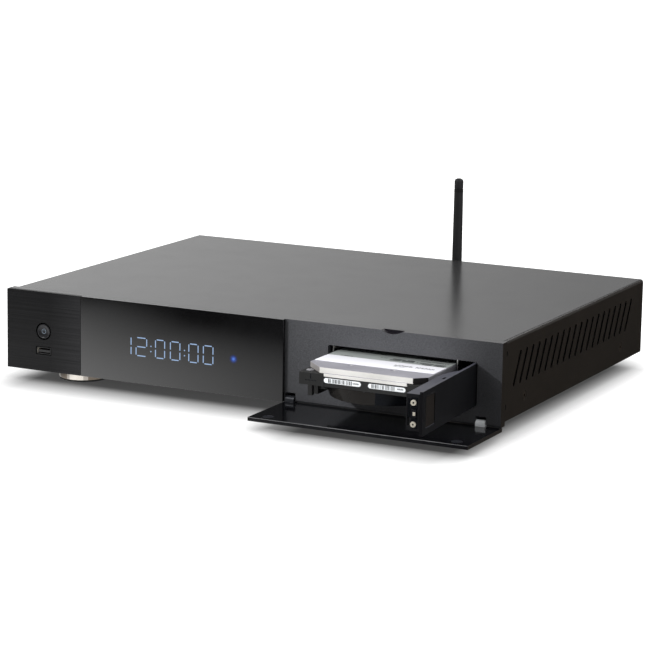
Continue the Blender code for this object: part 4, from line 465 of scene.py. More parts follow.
# %% Window, glow, label and sticker materials
def window_glass():
    mat, tree, shader, place = blank("display_window_acrylic")
    marks = shared(tree, touch_group, {"Place": place})
    deep = spread(tree, noise(tree, place, 9.0, 3.0), 0.35, 0.65)
    feed(tree, shader, {"Base Color": mixed(tree, deep, (0.0030, 0.0030, 0.0034), (0.0045, 0.0045, 0.0050)),
                        "Roughness": maths(tree, "MULTIPLY_ADD", marks["Dull"], 0.04, 0.08),
                        "IOR": 1.9, "Specular IOR Level": 0.5})
    return mat


def glow(name, colour, strength, centre=None, radius=None):
    """Emission that is even over a segment, or fades from a centre out to a radius in mm."""
    mat, tree, shader, place = blank(name)
    if centre is None:
        fade = spread(tree, noise(tree, place, 700.0, 2.0), 0.3, 0.7, 0.9, 1.0)
    else:
        moved = node(tree, "ShaderNodeMapping", {"Vector": place, "Location": [-v for v in centre]})
        away = node(tree, "ShaderNodeVectorMath", {0: moved.outputs[0]}, operation="LENGTH")
        fade = maths(tree, "POWER", spread(tree, away.outputs["Value"], 0.0, radius * MM, 1.0, 0.0), 2.2)
        feed(tree, shader, {"Alpha": maths(tree, "MINIMUM", product(tree, fade, 1.4), 1.0)})
    dim = (colour[0] * 0.3, colour[1] * 0.35, colour[2] * 0.7)
    feed(tree, shader, {"Base Color": (0.01, 0.012, 0.02, 1), "Roughness": 0.4,
                        "Emission Strength": strength, "Emission Color": mixed(tree, fade, dim, colour)})
    return mat


tree, given, gives = effect("printed_marks", {"Row": 420.0, "Mark": 1400.0, "Fill": 0.5}, ("Ink",))
print_group = tree
parts = split(tree, given["Place"])
row_at = product(tree, parts["Y"], given["Row"])
row_no = maths(tree, "FLOOR", row_at)
off_middle = maths(tree, "ABSOLUTE", maths(tree, "SUBTRACT", maths(tree, "FRACT", row_at), 0.5))
drawn = []
for along, row_step in ((given["Mark"], 7.31), (90.0, 3.77)):
    put = {0: product(tree, parts["X"], along), 1: product(tree, row_no, row_step)}
    drawn.append(noise(tree, node(tree, "ShaderNodeCombineXYZ", put).outputs[0], 1.0, 1.0))
feed(tree, gives, {"Ink": product(tree, maths(tree, "GREATER_THAN", drawn[0], 0.44),
                                  maths(tree, "LESS_THAN", drawn[1], given["Fill"]),
                                  maths(tree, "LESS_THAN", off_middle, 0.27))})


def printed(name, paper, ink, row, mark, fill, rough):
    """Paper with rows of small printed marks."""
    mat, tree, shader, place = blank(name)
    marks = shared(tree, print_group, {"Place": place, "Row": row, "Mark": mark, "Fill": fill})
    grit = shared(tree, grain_group, {"Place": place})
    sheet = mixed(tree, spread(tree, grit["Patches"], 0.3, 0.7), [c * 0.94 for c in paper], paper)
    feed(tree, shader, {"Base Color": mixed(tree, marks["Ink"], sheet, ink),
                        "Roughness": maths(tree, "MULTIPLY_ADD", grit["Height"], 0.12, rough),
                        "Normal": bumped(tree, grit["Height"], 0.05, 0.0001)})
    return mat


window_mat = window_glass()
segment_glow = glow("clock_segment_glow", (0.38, 0.54, 0.80), 0.88)
label_paper, label_white, sticker_paper = (printed("drive_" + name, *numbers) for name, *numbers in (
    ("label_paper", (0.330, 0.355, 0.345), (0.17, 0.185, 0.18), 260.0, 1500.0, 0.26, 0.36),
    ("label_white", (0.80, 0.80, 0.845), (0.68, 0.68, 0.72), 210.0, 900.0, 0.10, 0.40),
    ("sticker_paper", (0.78, 0.81, 0.83), (0.66, 0.70, 0.72), 300.0, 1500.0, 0.2, 0.42)))
print("patterned materials ready")

# %% [markdown]
# ## Floor, background and light
# The photograph has a plain white ground with a soft shadow close round the object. A large floor
# is white to the camera and darkens under the case and the open flap. The sky is an even studio
# light. What shiny faces see is set apart from that by Light Path: a pale wall behind, which the
# dark cover mirrors as grey, dim walls in front and to the right, and a floor that is bright at
# the front left and dark to the right, which leaves the case's end nearly black.


# %% Floor
def by_ray(tree, ray, rest, chosen):
    """A shader that one kind of ray sees, with another for all the rest."""
    path = node(tree, "ShaderNodeLightPath").outputs[ray]
    return node(tree, "ShaderNodeMixShader", {0: path, 1: rest.outputs[0], 2: chosen.outputs[0]})


bm = bmesh.new()
bmesh.ops.create_grid(bm, x_segments=1, y_segments=1, size=14.0)
floor_mesh = bpy.data.meshes.new("floor")
bm.to_mesh(floor_mesh)
bm.free()
floor = bpy.data.objects.new("floor", floor_mesh)
bpy.context.scene.collection.objects.link(floor)

floor_mat, tree, shader, place = blank("floor_white")
tree.nodes.remove(shader)
ground = split(tree, place)
# the shadow lies under the case and under the open flap, and fades within a few centimetres
ends = spread(tree, maths(tree, "ABSOLUTE", ground["X"]), 0.196, 0.232, 1.0, 0.0)
back = spread(tree, ground["Y"], 0.185, 0.235, 1.0, 0.0)
front = spread(tree, ground["Y"], -0.156, -0.100)
flap = product(tree, spread(tree, ground["Y"], -0.218, -0.158), spread(tree, ground["X"], 0.015, 0.070))
under = product(tree, maths(tree, "MAXIMUM", front, flap), product(tree, ends, back))
dark = spread(tree, under, 0.0, 1.0, 0.88, 0.22)
grey = node(tree, "ShaderNodeCombineColor", {0: dark, 1: dark, 2: dark})
shade = node(tree, "ShaderNodeBsdfDiffuse", {"Color": grey.outputs[0]})
# the white ground is whiter away from the object
lift = node(tree, "ShaderNodeEmission", {"Strength": spread(tree, under, 0.0, 1.0, 0.44, 0.05)})
seen = node(tree, "ShaderNodeAddShader", {0: shade.outputs[0], 1: lift.outputs[0]})
bounce = node(tree, "ShaderNodeBsdfDiffuse", {"Color": (0.6, 0.6, 0.6, 1)})
# what gloss sees: bright near the front left of the object, dark away from it and to the right
near = spread(tree, ground["Y"], -0.46, -0.14)
left = spread(tree, ground["X"], -0.32, 0.05, 2.0, 0.3)
inward = spread(tree, ground["X"], -0.30, -0.20)
rear = spread(tree, ground["Y"], -0.10, -0.04, 1.0, 0.0)
beside = spread(tree, ground["X"], 0.05, 0.24, 1.0, 0.05)
lost = product(tree, maths(tree, "SUBTRACT", 1.0, near), inward, 0.35)
fading = maths(tree, "MAXIMUM", maths(tree, "SUBTRACT", product(tree, near, left), lost), 0.0)
beneath = product(tree, spread(tree, ground["Y"], -0.14, -0.12),
                  spread(tree, ground["X"], -0.20, -0.165, 0.8, 0.0))
lit = product(tree, fading, product(tree, rear, beside), maths(tree, "SUBTRACT", 1.0, beneath))
mirror = node(tree, "ShaderNodeEmission", {"Strength": maths(tree, "ADD", lit, 0.02)})
surface = by_ray(tree, "Is Camera Ray", by_ray(tree, "Is Glossy Ray", bounce, mirror), seen)
feed(tree, tree.nodes["Material Output"], {"Surface": surface.outputs[0]})
floor_mesh.materials.append(floor_mat)

# %% Sky and lamps
world = bpy.data.worlds.new("studio")
bpy.context.scene.world = world
world.use_nodes = True
tree = world.node_tree
tree.nodes.clear()
sky = split(tree, node(tree, "ShaderNodeTexCoord").outputs["Generated"])
side_on = spread(tree, sky["X"], -0.54, -0.34, 0.95, 0.44)
past = spread(tree, sky["X"], -0.34, 0.06, 1.0, 0.06)
behind = spread(tree, sky["Y"], -0.1, 0.6, 0.25, 1.0)
high = spread(tree, sky["Z"], 0.24, 0.60, 1.0, 0.30)
back_wall = product(tree, product(tree, side_on, past), product(tree, behind, high))
front_wall = spread(tree, sky["Y"], -0.45, -0.05, 0.18, 0.0)
right_wall = spread(tree, sky["X"], 0.22, 0.60, 0.0, 0.55)
walls = maths(tree, "MAXIMUM", back_wall, maths(tree, "MAXIMUM", front_wall, right_wall))
even_sky = spread(tree, sky["Y"], -0.8, 0.8, 0.60, 1.70)
soft, mirror, white = (node(tree, "ShaderNodeBackground", {"Color": (1.0, 1.0, 1.0, 1), "Strength": strength})
                       for strength in (even_sky, walls, 1.0))
surface = by_ray(tree, "Is Camera Ray", by_ray(tree, "Is Glossy Ray", soft, mirror), white)
node(tree, "ShaderNodeOutputWorld", {"Surface": surface.outputs[0]})


def lamp(name, kind, place, aim, watts, **settings):
    """A lamp of a kind at a place, turned toward its aim."""
    data = bpy.data.lights.new(name, kind)
    data.energy = watts
    for key, value in settings.items():
        setattr(data, key, value)
    ob = bpy.data.objects.new(name, data)
    ob.location = place
    ob.rotation_mode = "QUATERNION"
    ob.rotation_quaternion = (Vector(aim) - Vector(place)).to_track_quat("-Z", "Y")
    bpy.context.scene.collection.objects.link(ob)
    return ob


lamp("key_front_left", "AREA", (-1.1, -1.5, 1.5), (0, 0, 0.03), 10.0, shape="DISK", size=0.9)
lamp("rim_back", "AREA", (0.5, 1.6, 1.4), (0, 0, 0.05), 8.0, shape="DISK", size=1.0)
rack = at(352, 0, 45)
spot = lamp("rack_spot", "SPOT", rack + Vector((-1.17, -1.30, 0.80)), rack, 135.0,
            spot_size=math.radians(7.4), spot_blend=0.8, shadow_soft_size=0.03)
spot.visible_glossy = False
print("floor, sky and three lamps")

# %% [markdown]
# ## The case
# One bent sheet makes the top and both sides, with twenty leaning vent slots on each side. Dark
# folded sheets stand behind the slots as painted shade, the rear panel folds in under the cover's
# edge, and a dark strip of painted shade lies in the gap between the cover and the front panel.
# The solids already have the large shapes, so each is copied, its edges are eased by a fraction of
# a millimetre, and it stands for its solid.
# Round pieces are spun afresh with more steps.

# %% Case sheets, panel and plates
SOLID_BEND, DRAWN_BEND, BEND_Z = 6.0, 2.6, 58.3


def crisp_bends(bm):
    """The bend's outside follows a smaller radius, as a press brake leaves it."""
    ratio = DRAWN_BEND / SOLID_BEND
    for v in bm.verts:
        p = (v.co - corner) / MM
        for middle, way in ((422.3, 1), (7.7, -1)):
            dx, dz = (p.x - middle) * way, p.z - BEND_Z
            if dx > -0.01 and dz > -0.01 and abs(math.hypot(dx, dz) - SOLID_BEND) < 0.06:
                shift = SOLID_BEND - DRAWN_BEND
                v.co = at(middle + way * (shift + dx * ratio), p.y, BEND_Z + shift + dz * ratio)


cover = dressed("top_cover", [case_paint, side_shade_paint, shade_and_black_paint], 0.22, shape=crisp_bends)
# the cover's sides and the upper bevel of its front edge take the darker copy, painted shade
repaint(cover, 1, lambda c, n: abs(n.x) > 0.55 or (n.y < -0.25 and n.z > 0.2))
# the cover's inner faces and the walls of its slots take painted shade
repaint(cover, 2, lambda c, n: n.z < -0.5 and c.z > 58.0 or n.x < -0.6 and c.x > 424 or n.x > 0.6 and c.x < 6
        or abs(n.x) < 0.5 and 14.0 < c.z < 57.0 and 28.0 < c.y < 300.0)
dressed("base_pan", pan_metal, 0.0)
dressed("rear_panel", case_paint, 0.0)
# the fold under the cover's rear edge takes painted shade
blocks("rear_panel_fold", "case", side_shade_paint, [((6.6, 308.3, 59.6), (423.4, 309.6, 63.15))], 0.15, 1)
# dark sheets behind the slots: painted shade where the case's inside shows through
shade_sheets = []
for x, way in ((4.0, 1), (426.0, -1)):
    thin, deep = sorted((x, x + 0.5 * way)), sorted((x, x + 5.0 * way))
    for (x0, x1), z0, z1 in ((thin, 10.5, 58.0), (deep, 57.6, 58.2), (deep, 10.2, 10.8)):
        shade_sheets.append(((x0, 26.0, z0), (x1, 302.0, z1)))
blocks("vent_painted_shade_sheets", "case", shade_and_black_paint, shade_sheets, 0.1, 1)
# a dark strip over the gap between cover and front panel: painted shade
blocks("front_gap_painted_shade", "case", shade_and_black_paint, [((3.5, 10.8, 63.9), (426.5, 11.9, 64.34))])
panel = dressed("front_panel", [panel_paint, case_paint, side_shade_paint, scoop_shade_paint], 0.28)
# the panel's upward faces take the cover's darker paint, a painted shade that keeps its top edge from showing
# a light line
repaint(panel, 1, lambda c, n: n.z > 0.3 and c.z > 63.0)
# the panel's ends and its rear upper faces take painted shade
repaint(panel, 2, lambda c, n: abs(n.x) > 0.6 and (c.x > 429.0 or c.x < 1.0))
repaint(panel, 2, lambda c, n: c.y > 10.5 and n.z > 0.2 and n.y > 0.2)
# the finger scoop in the panel's top edge is painted near-black: painted shade in the hollow
repaint(panel, 3, lambda c, n: 322.0 < c.x < 357.6 and 61.2 < c.z < 64.4 and c.y < 8.9
        and (n.z > 0.25 and c.z < 64.2 or n.y < -0.7 and c.y > 7.5))
dressed("brushed_plate", plate_brushed, 0.25)
dressed("front_glass", window_mat, 0.2)

# %% [markdown]
# ## Screws
# Each screw has a hexagonal hole for its key. The hole is a ring of points pulled onto a hexagon
# and joined to a second one below it, so it is a real hollow and goes dark by itself.


# %% Screw maker
SIDES, STEPS = 6, 24


def socket_head(bm, middle, normal, radius, crown, hole, deep, sink=0.0):
    """A screw head: rim, slightly crowned face and a hexagonal hole, facing along the normal."""
    face = Vector(normal).normalized()
    turn = face.to_track_quat("Z", "Y").to_matrix().to_4x4()
    frame_at = Matrix.Translation(at(*middle) + face * (-sink * MM)) @ turn
    loops = []
    for r, h in ((radius, -deep - 0.3), (radius, 0.0), (radius * 0.86, crown), (hole * 1.25, crown)):
        ring = bmesh.ops.create_circle(bm, segments=STEPS, radius=r * MM)["verts"]
        bmesh.ops.translate(bm, verts=ring, vec=(0, 0, h * MM))
        loops.append(ring)
    for h in (crown, crown - deep):
        ring = bmesh.ops.create_circle(bm, segments=STEPS, radius=hole * MM)["verts"]
        for v in ring:
            a = math.atan2(v.co.y, v.co.x) % (2 * math.pi / SIDES) - math.pi / SIDES
            v.co *= math.cos(math.pi / SIDES) / math.cos(a)
        bmesh.ops.translate(bm, verts=ring, vec=(0, 0, h * MM))
        loops.append(ring)
    for one, two in zip(loops[:-1], loops[1:]):
        for i in range(STEPS):
            bm.faces.new((one[i], one[(i + 1) % STEPS], two[(i + 1) % STEPS], two[i]))
    bm.faces.new(list(reversed(loops[0])))
    bm.faces.new(loops[-1])
    verts = [v for ring in loops for v in ring]
    bmesh.ops.transform(bm, matrix=frame_at, verts=verts)


for end, y in (("front", 52.8), ("rear", 260.8)):
    for hand, x, way in (("left", 1.7, -1), ("right", 428.3, 1)):
        bm = bmesh.new()
        socket_head(bm, (x, y, 15.7), (way, 0, 0), 3.45, 0.0, 1.3, 1.6, 0.08)
        ob = finished("side_screw_%s_%s_head" % (end, hand), bm, "case", screw_brown)
        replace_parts(ob, "side_screw_%s_%s" % (end, hand))
bm = bmesh.new()
for x, way in ((1.7, -1), (428.3, 1)):
    for z in (13.7, 54.1):
        socket_head(bm, (x, 14.5, z), (way, 0, 0), 2.4, 0.0, 1.0, 1.2, 0.10)
finished("edge_screws", bm, "case", shade_and_black_paint)
bm = bmesh.new()
for x, z in ((14.0, 8.5), (14.0, 57.0), (416.0, 8.5), (416.0, 57.0), (215.0, 57.0)):
    socket_head(bm, (x, 310.4, z), (0, 1, 0), 2.9, 1.4, 1.2, 1.1)
finished("rear_screws", bm, "case", screw_black)
bm = bmesh.new()
for x in (332.0, 372.0):
    socket_head(bm, (x, 313.1, 33.0), (0, 1, 0), 2.9, 1.2, 1.2, 1.0)
finished("inlet_screws", bm, "case", screw_black)
print("screws set")

# %% [markdown]
# ## Power button and front socket
# The button is a shallow dish inside a raised rim, in a hole with a dark gap round it. A thin
# ring and stroke, the usual power sign, sits in the dish. One wall of the front socket's mouth is
# painted as its bright metal lining, a painted highlight where that wall catches the light.

# %% Button, sign and socket
bm = bmesh.new()
turned(bm, [(0, 13.2), (1.9, 13.2), (1.9, 4.2), (6.1, 4.2), (6.1, 0.75), (5.75, 0.25), (5.3, 0.2),
            (4.9, 0.45), (4.2, 0.75), (2.4, 1.0), (0, 1.05)], (34.3, 0.0, 32.5), "y", 72)
button = finished("power_button_dish", bm, "button", button_black)
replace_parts(button, "power_button")

sign_ink = finish("power_sign_ink", (0.20, 0.25, 0.31), (0.26, 0.31, 0.37), 0.4, 0.2, 3000, 0.03, 0.05)
bm = bmesh.new()
arc_at = [bmesh.ops.create_vert(bm, co=(r * MM, 0, h * MM))["vert"][0] for r, h in
          ((1.55, -0.05), (1.95, -0.05), (1.95, 0.30), (1.55, 0.30))]
loop = [bm.edges.new((arc_at[i], arc_at[(i + 1) % 4])) for i in range(4)]
profile = bm.faces.new(arc_at)
bmesh.ops.rotate(bm, verts=bm.verts, cent=(0, 0, 0), matrix=Matrix.Rotation(math.radians(58), 3, "Z"))
bmesh.ops.spin(bm, geom=[profile] + loop + arc_at, cent=(0, 0, 0), axis=(0, 0, 1),
               angle=math.radians(-296), steps=40)
bmesh.ops.contextual_create(bm, geom=[e for e in bm.edges if len(e.link_faces) < 2])
stand = Matrix.Translation(at(34.3, 0.95, 32.5)) @ Matrix.Rotation(math.radians(90), 4, "X")
bmesh.ops.transform(bm, matrix=stand, verts=bm.verts)
block(bm, (34.1, 0.70, 32.6), (34.5, 1.0, 34.9), 0.0)
bmesh.ops.recalc_face_normals(bm, faces=bm.faces)
finished("power_sign", bm, "button", sign_ink)

usb = dressed("front_usb", [socket_plastic, screw_bright], 0.0)
# one wall of the socket's mouth takes bright metal: the lining, with a painted highlight on the wall that
# catches the light
print(repaint(usb, 1, lambda c, n: n.x > 0.7 and 27.9 < c.x < 31.0), "bright faces in the socket's mouth")
dressed("power_switch", socket_plastic, 0.2)
print("button and socket")

# %% [markdown]
# ## Clock and status light
# On the real player the clock and a round blue light shine through the dark window. Here they
# are thin raised bars and a disc that lie on the window's face, so they show at any angle. Each
# figure is made of up to seven strokes with small gaps.

# %% Clock figures
STROKES = {"0": "abcdef", "1": "bc", "2": "abged"}
FIGURES = (("1", 106.3, 115.9), ("2", 119.6, 130.1), ("0", 137.2, 146.3), ("0", 150.6, 160.0),
           ("0", 167.1, 176.2), ("0", 180.0, 189.4))
Z_LOW, Z_HIGH, THICK = 21.9, 37.2, 0.86
Z_MID, HALF = (Z_LOW + Z_HIGH) / 2, THICK / 2
FACE, SUNK = -0.06, 0.1  # how far a stroke stands out, and how deep it goes in


def flat_bar(x0, x1, z):
    return (x0 + 1.5, FACE, z - HALF), (x1 - 1.5, SUNK, z + HALF)


def tall_bar(x, z0, z1):
    return (x - HALF, FACE, z0), (x + HALF, SUNK, z1)


bars = []
for figure, x0, x1 in FIGURES:
    spots = {"a": flat_bar(x0, x1, Z_HIGH - HALF), "g": flat_bar(x0, x1, Z_MID),
             "d": flat_bar(x0, x1, Z_LOW + HALF)}
    for stroke, x in (("b", x1 - HALF), ("f", x0 + HALF)):
        spots[stroke] = tall_bar(x, Z_MID + 0.8, Z_HIGH - 1.0)
    for stroke, x in (("c", x1 - HALF), ("e", x0 + HALF)):
        spots[stroke] = tall_bar(x, Z_LOW + 1.0, Z_MID - 0.8)
    bars += [spots[stroke] for stroke in STROKES[figure]]
for x in (133.5, 163.7):
    for z in (26.8, 31.0):
        bars.append(((x - 0.5, FACE, z - 0.5), (x + 0.5, SUNK, z + 0.5)))
blocks("clock_figures", "case", segment_glow, bars, 0.08, 1)

LIGHT = (207.1, -0.02, 28.9)
bm = bmesh.new()
bmesh.ops.create_cone(bm, cap_ends=True, segments=48, radius1=4.2 * MM, radius2=4.2 * MM, depth=0.08 * MM,
                      matrix=Matrix.Translation(at(*LIGHT)) @ AXES["y"])
blue_glow = glow("status_light_glow", (0.11, 0.25, 0.78), 0.9, at(207.1, -0.06, 28.9), 4.2)
finished("status_light_halo", bm, "case", blue_glow)
dressed("display_module", black_and_painted_shade, 0.2)
print("clock and light")

# %% [markdown]
# ## The flap and its arms
# The flap is a lacquered plate that hangs on two arms. The left arm is lacquered with a painted
# bluish sheen in its colour, the right one is painted pale as a painted highlight. Its bevelled rim
# carries a painted highlight in front, and the lacquer mirrors the panel behind it.
# Two steel discs near its front corners meet magnets when it is closed.

# %% Flap, arms, discs and pins
flap = dressed("flap", [flap_lacquer, arm_lacquer_and_sheen, arm_painted_highlight, flap_rim_highlight, side_shade_paint], 0.3)
# the left arm takes a paler, bluish copy of the lacquer: its satin finish with a painted sheen
print(repaint(flap, 1, lambda c, n: c.z > 0.25 and c.y > 1.0 and c.x < 300), "faces on the left arm")
# the right arm is painted pale: a painted highlight
print(repaint(flap, 2, lambda c, n: c.z > 0.25 and c.y > 1.0 and c.x > 400), "faces on the right arm")
# the front bevel of the rim is painted pale: a painted highlight
print(repaint(flap, 3, lambda c, n: c.y < -57.2 and n.y < -0.25 and n.z > 0.25), "faces on the front rim")
# the flap's right end takes painted shade
repaint(flap, 4, lambda c, n: n.x > 0.7 and c.x > 429.0)
for hand, x in (("left", 263.1), ("right", 417.4)):
    bm = bmesh.new()
    turned(bm, [(0, -1.2), (4.35, -1.2), (4.35, -0.12), (4.2, -0.02), (3.6, -0.02), (3.45, -0.1), (0, -0.1)],
           (x, -48.4, 0.0), "z", 48)
    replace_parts(finished("flap_disc_%s_turned" % hand, bm, "flap_assembly", disc_metal), "flap_disc_" + hand)
    dressed("flap_pin_" + hand, nickel, 0.0)

# %% [markdown]
# ## The rack door
# A flat outer plate carries a thick moulded body, and the door stands three degrees past square.
# Pieces on it are drawn straight and turned by the same three degrees. The upper sides of plate
# and body catch the light and are painted paler. On the door's end sit two screws and the latch's
# tongue, which the release paddle draws in.

# %% Door, paddle, tongue and end screws
hinge = at(407.3, 5.6, 0)
LEAN = Matrix.Translation(hinge) @ Matrix.Rotation(math.radians(3), 4, "Z") @ Matrix.Translation(-hinge)


def leaned(bm):
    bmesh.ops.transform(bm, matrix=LEAN, verts=bm.verts)
    return bm


door = dressed("rack_door", [door_plastic, door_top], 0.3)
print(repaint(door, 1, lambda c, n: n.z > 0.7), "faces on the door's upper edge")
body = dressed("rack_door_body", [body_plastic, door_top], 0.3)
print(repaint(body, 1, lambda c, n: n.z > 0.7 and c.z > 40.0), "faces on its body's upper side")
dressed("release_paddle", paddle_plastic, 0.35)
dressed("latch_tongue", tongue_metal, 0.2)
dressed("door_hinge_pin", nickel, 0.0)
for place_name, z in (("lower", 23.35), ("upper", 39.15)):
    bm = bmesh.new()
    socket_head(bm, (402.4, -106.5, z), (0, -1, 0), 2.1, 0.12, 0.85, 1.3)
    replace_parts(finished("door_screw_%s_head" % place_name, leaned(bm), "rack_door_assembly", screw_bright),
                "door_screw_" + place_name)
# dark inset plates above and below the tongue, and a dark block in the slot: painted shade where the
# slot goes in
bm = bmesh.new()
block(bm, (400.5, -105.62, 34.7), (405.4, -105.3, 42.8), 0.08, 1)
block(bm, (400.5, -105.62, 20.2), (405.4, -105.3, 27.8), 0.08, 1)
block(bm, (398.0, -105.56, 28.2), (399.5, -105.3, 41.9), 0.0)
finished("door_end_inset", leaned(bm), "rack_door_assembly", black_and_painted_shade)
# a bright block on the tongue's tip: a painted glint
bm = bmesh.new()
block(bm, (402.2, -106.83, 29.9), (404.2, -106.5, 32.6), 0.12, 1)
finished("tongue_tip_painted_glint", leaned(bm), "latch", screw_bright)
# raised border of the paddle's opening
bm = bmesh.new()
for y0, y1, z0, z1 in ((-99.8, -81.6, 19.2, 19.6), (-99.8, -81.6, 42.9, 43.3), (-100.1, -99.8, 19.2, 43.3),
                       (-81.6, -81.3, 19.2, 43.3)):
    block(bm, (409.25, y0, z0), (409.42, y1, z1), 0.05, 1)
finished("paddle_border", leaned(bm), "rack_door_assembly", door_plastic)
print("door dressed")

# %% [markdown]
# ## The drive
# A 3.5 inch drive: a dark die-cast case with a pressed lid on top. The lid's front corners are cut
# off and a narrow lip folds down over the casting's front. The round swelling below it houses the
# platters' motor. Label and stickers carry only made-up marks.


# %% Drive casting, lid and label
LABEL_TOP = 43.58  # where the label's print lies
CAST_FRONT = -52.0  # the front of the drive's casting
BOWL_X, BOWL_Y, BOWL_Z, BOWL_R = 341.0, -9.7, 21.1, 41.7


def next_draw(n):
    """The next number of a fixed row of made-up numbers."""
    return (n * 7919 + 104729) % 65521


def dash(bm, x, y, wide, tall):
    """A small flat stroke of the label's print about its middle."""
    put = Matrix.Translation(at(x, y, LABEL_TOP)) @ Matrix.Diagonal((wide * MM, tall * MM, 1, 1))
    bmesh.ops.create_grid(bm, x_segments=1, y_segments=1, size=0.5, matrix=put)


def print_row(bm, x, x_end, y, tall, n):
    """A row of small flat strokes between two x places, like print too small to read."""
    while x < x_end:
        n = next_draw(n)
        wide = (0.35 + 0.5 * (n % 97) / 97.0) * max(1.0, tall / 1.3)
        if (n // 97) % 7:
            dash(bm, x + wide / 2, y, wide, tall)
        x += wide + 0.18


def from_bowl(p):
    """How far a place lies from the swelling's axis."""
    return math.hypot(p.x - BOWL_X, p.y - BOWL_Y)


def flared(bm):
    """The round swelling widens toward the deck and stays behind the casting's front."""
    for v in bm.verts:
        p = (v.co - corner) / MM
        if abs(from_bowl(p) - BOWL_R) < 0.08 and 19.0 < p.z < 29.1:
            slope = 0.50 if p.z > BOWL_Z else 1.2
            wide = (BOWL_R + (p.z - BOWL_Z) * slope) / from_bowl(p)
            x, y = BOWL_X + (p.x - BOWL_X) * wide, BOWL_Y + (p.y - BOWL_Y) * wide
            v.co = at(x, max(y, CAST_FRONT + 0.5), p.z)


casting = dressed("drive_casting", [cast_paint, bowl_paint, black_and_painted_shade], 0.25, shape=flared)
print(repaint(casting, 1, lambda c, n: c.z < 28.9 and n.z < 0.2 and abs(n.z) < 0.9
              and 36.0 < from_bowl(c) < 46.5 and c.y < -8.0 and c.x > 302.5), "faces on the swelling")
repaint(casting, 2, lambda c, n: 20.0 < c.z < 28.9 and abs(n.z) < 0.8 and c.x > 350 and c.y < -28.0
        and 38.0 < from_bowl(c) < 46.5)
drive_lid = dressed("drive_lid", [lid_metal, lid_front_highlight, lid_cut_shade, lid_cut_half_shade], 0.3)
# the lid's front faces are painted pale: a painted highlight along its lip
repaint(drive_lid, 1, lambda c, n: n.y < -0.9)
# the cut corner facing right is painted dark and the one facing left grey: painted shade by the way each faces
repaint(drive_lid, 2, lambda c, n: n.y < -0.3 and n.x > 0.3 and c.z < 43.0 and c.x > 372)
repaint(drive_lid, 3, lambda c, n: n.y < -0.3 and n.x < -0.3 and c.z < 43.0 and c.x < 312)
bm = copied("drive_label")
bmesh.ops.bisect_plane(bm, geom=bm.verts[:] + bm.edges[:] + bm.faces[:], plane_co=at(0, -7.6, 0),
                       plane_no=(0, 1, 0))
label = finished("drive_label_sheet", bm, "drive", [label_paper, label_white])
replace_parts(label, "drive_label")
repaint(label, 1, lambda c, n: c.y < -7.6)
ROWS = ((342, 358.5, 1.8, 2.6), (341, 360.5, -1.8, 2.8), (363, 386.5, -1.6, 2.4), (369, 387, -5.2, 2.6),
        (363, 386, 4.8, 1.5), (359, 386, 16.5, 3.4), (362, 385.5, 11.6, 2.4), (301.5, 312, -5.4, 1.6),
        (331.5, 336.5, 2.6, 1.5), (300, 330, 14, 1.0), (300, 352, 30, 1.6), (300, 341, 35, 1.2),
        (300, 350, 39, 1.2), (300, 346, 43, 1.2), (300, 350, 47, 1.2), (356, 384, 34, 5.0),
        (356, 384, 44, 1.2), (302, 380, 60, 2.2), (302, 372, 66, 1.4), (302, 376, 71, 1.4),
        (302, 350, 76, 1.4), (353.5, 362, -21.9, 0.8))
bm = bmesh.new()
for i, row in enumerate(ROWS):
    print_row(bm, *row, 31 + i * 57)
# larger made-up signs of one stem and two bars each
x, n = 352.6, 11
while x < 385.0:
    n = next_draw(n)
    if abs(x - 367.6) > 1.4:
        for dx, dy, wide, tall in ((0.0, 0.0, 0.55, 4.4), (0.8, 1.5 * (n % 3) - 1.5, 1.3, 0.9),
                                   (1.5, (n // 7) % 3 - 1.0, 0.5, 3.0)):
            dash(bm, x + dx, -17.8 + dy, wide, tall)
    x += 2.5
finished("drive_label_print", bm, "drive", print_ink)
# the lid's fixing screws, two under the label's edge
bm = bmesh.new()
for x, y in ((295.6, 30.0), (386.6, 30.0), (295.6, 89.6), (386.6, 89.6)):
    turned(bm, [(0, 0.0), (2.2, 0.0), (2.2, -0.2), (1.2, -0.25), (1.1, -0.6), (0, -0.6)],
           (x, y, 43.2), "z", 24)
finished("drive_lid_screws", bm, "drive", screw_black)
bm = bmesh.new()
turned(bm, [(0, 0.15), (0.9, 0.15), (1.0, 0.75), (2.1, 0.75), (2.95, 0.35), (3.1, -0.2), (0, -0.2)],
       (295.4, -43.4, 38.5), "z", 32)
finished("drive_corner_screw", bm, "drive", screw_satin)


def strip(bm, x0, x1, z0, z1):
    """A flat sticker with round ends on the drive's front."""
    steps, r = 8, (z1 - z0) / 2
    loop = []
    for cx, turn in ((x1 - r, -90), (x0 + r, 90)):
        for i in range(steps + 1):
            a = math.radians(turn + 180 * i / steps)
            z = (z0 + z1) / 2 + r * math.sin(a)
            loop.append(bm.verts.new(at(cx + r * math.cos(a), CAST_FRONT - 0.08, z)))
    face = bm.faces.new(loop)
    grown = bmesh.ops.extrude_face_region(bm, geom=[face])["geom"]
    inner = [v for v in grown if isinstance(v, bmesh.types.BMVert)]
    bmesh.ops.translate(bm, verts=inner, vec=(0, 0.2 * MM, 0))
    bmesh.ops.recalc_face_normals(bm, faces=bm.faces)


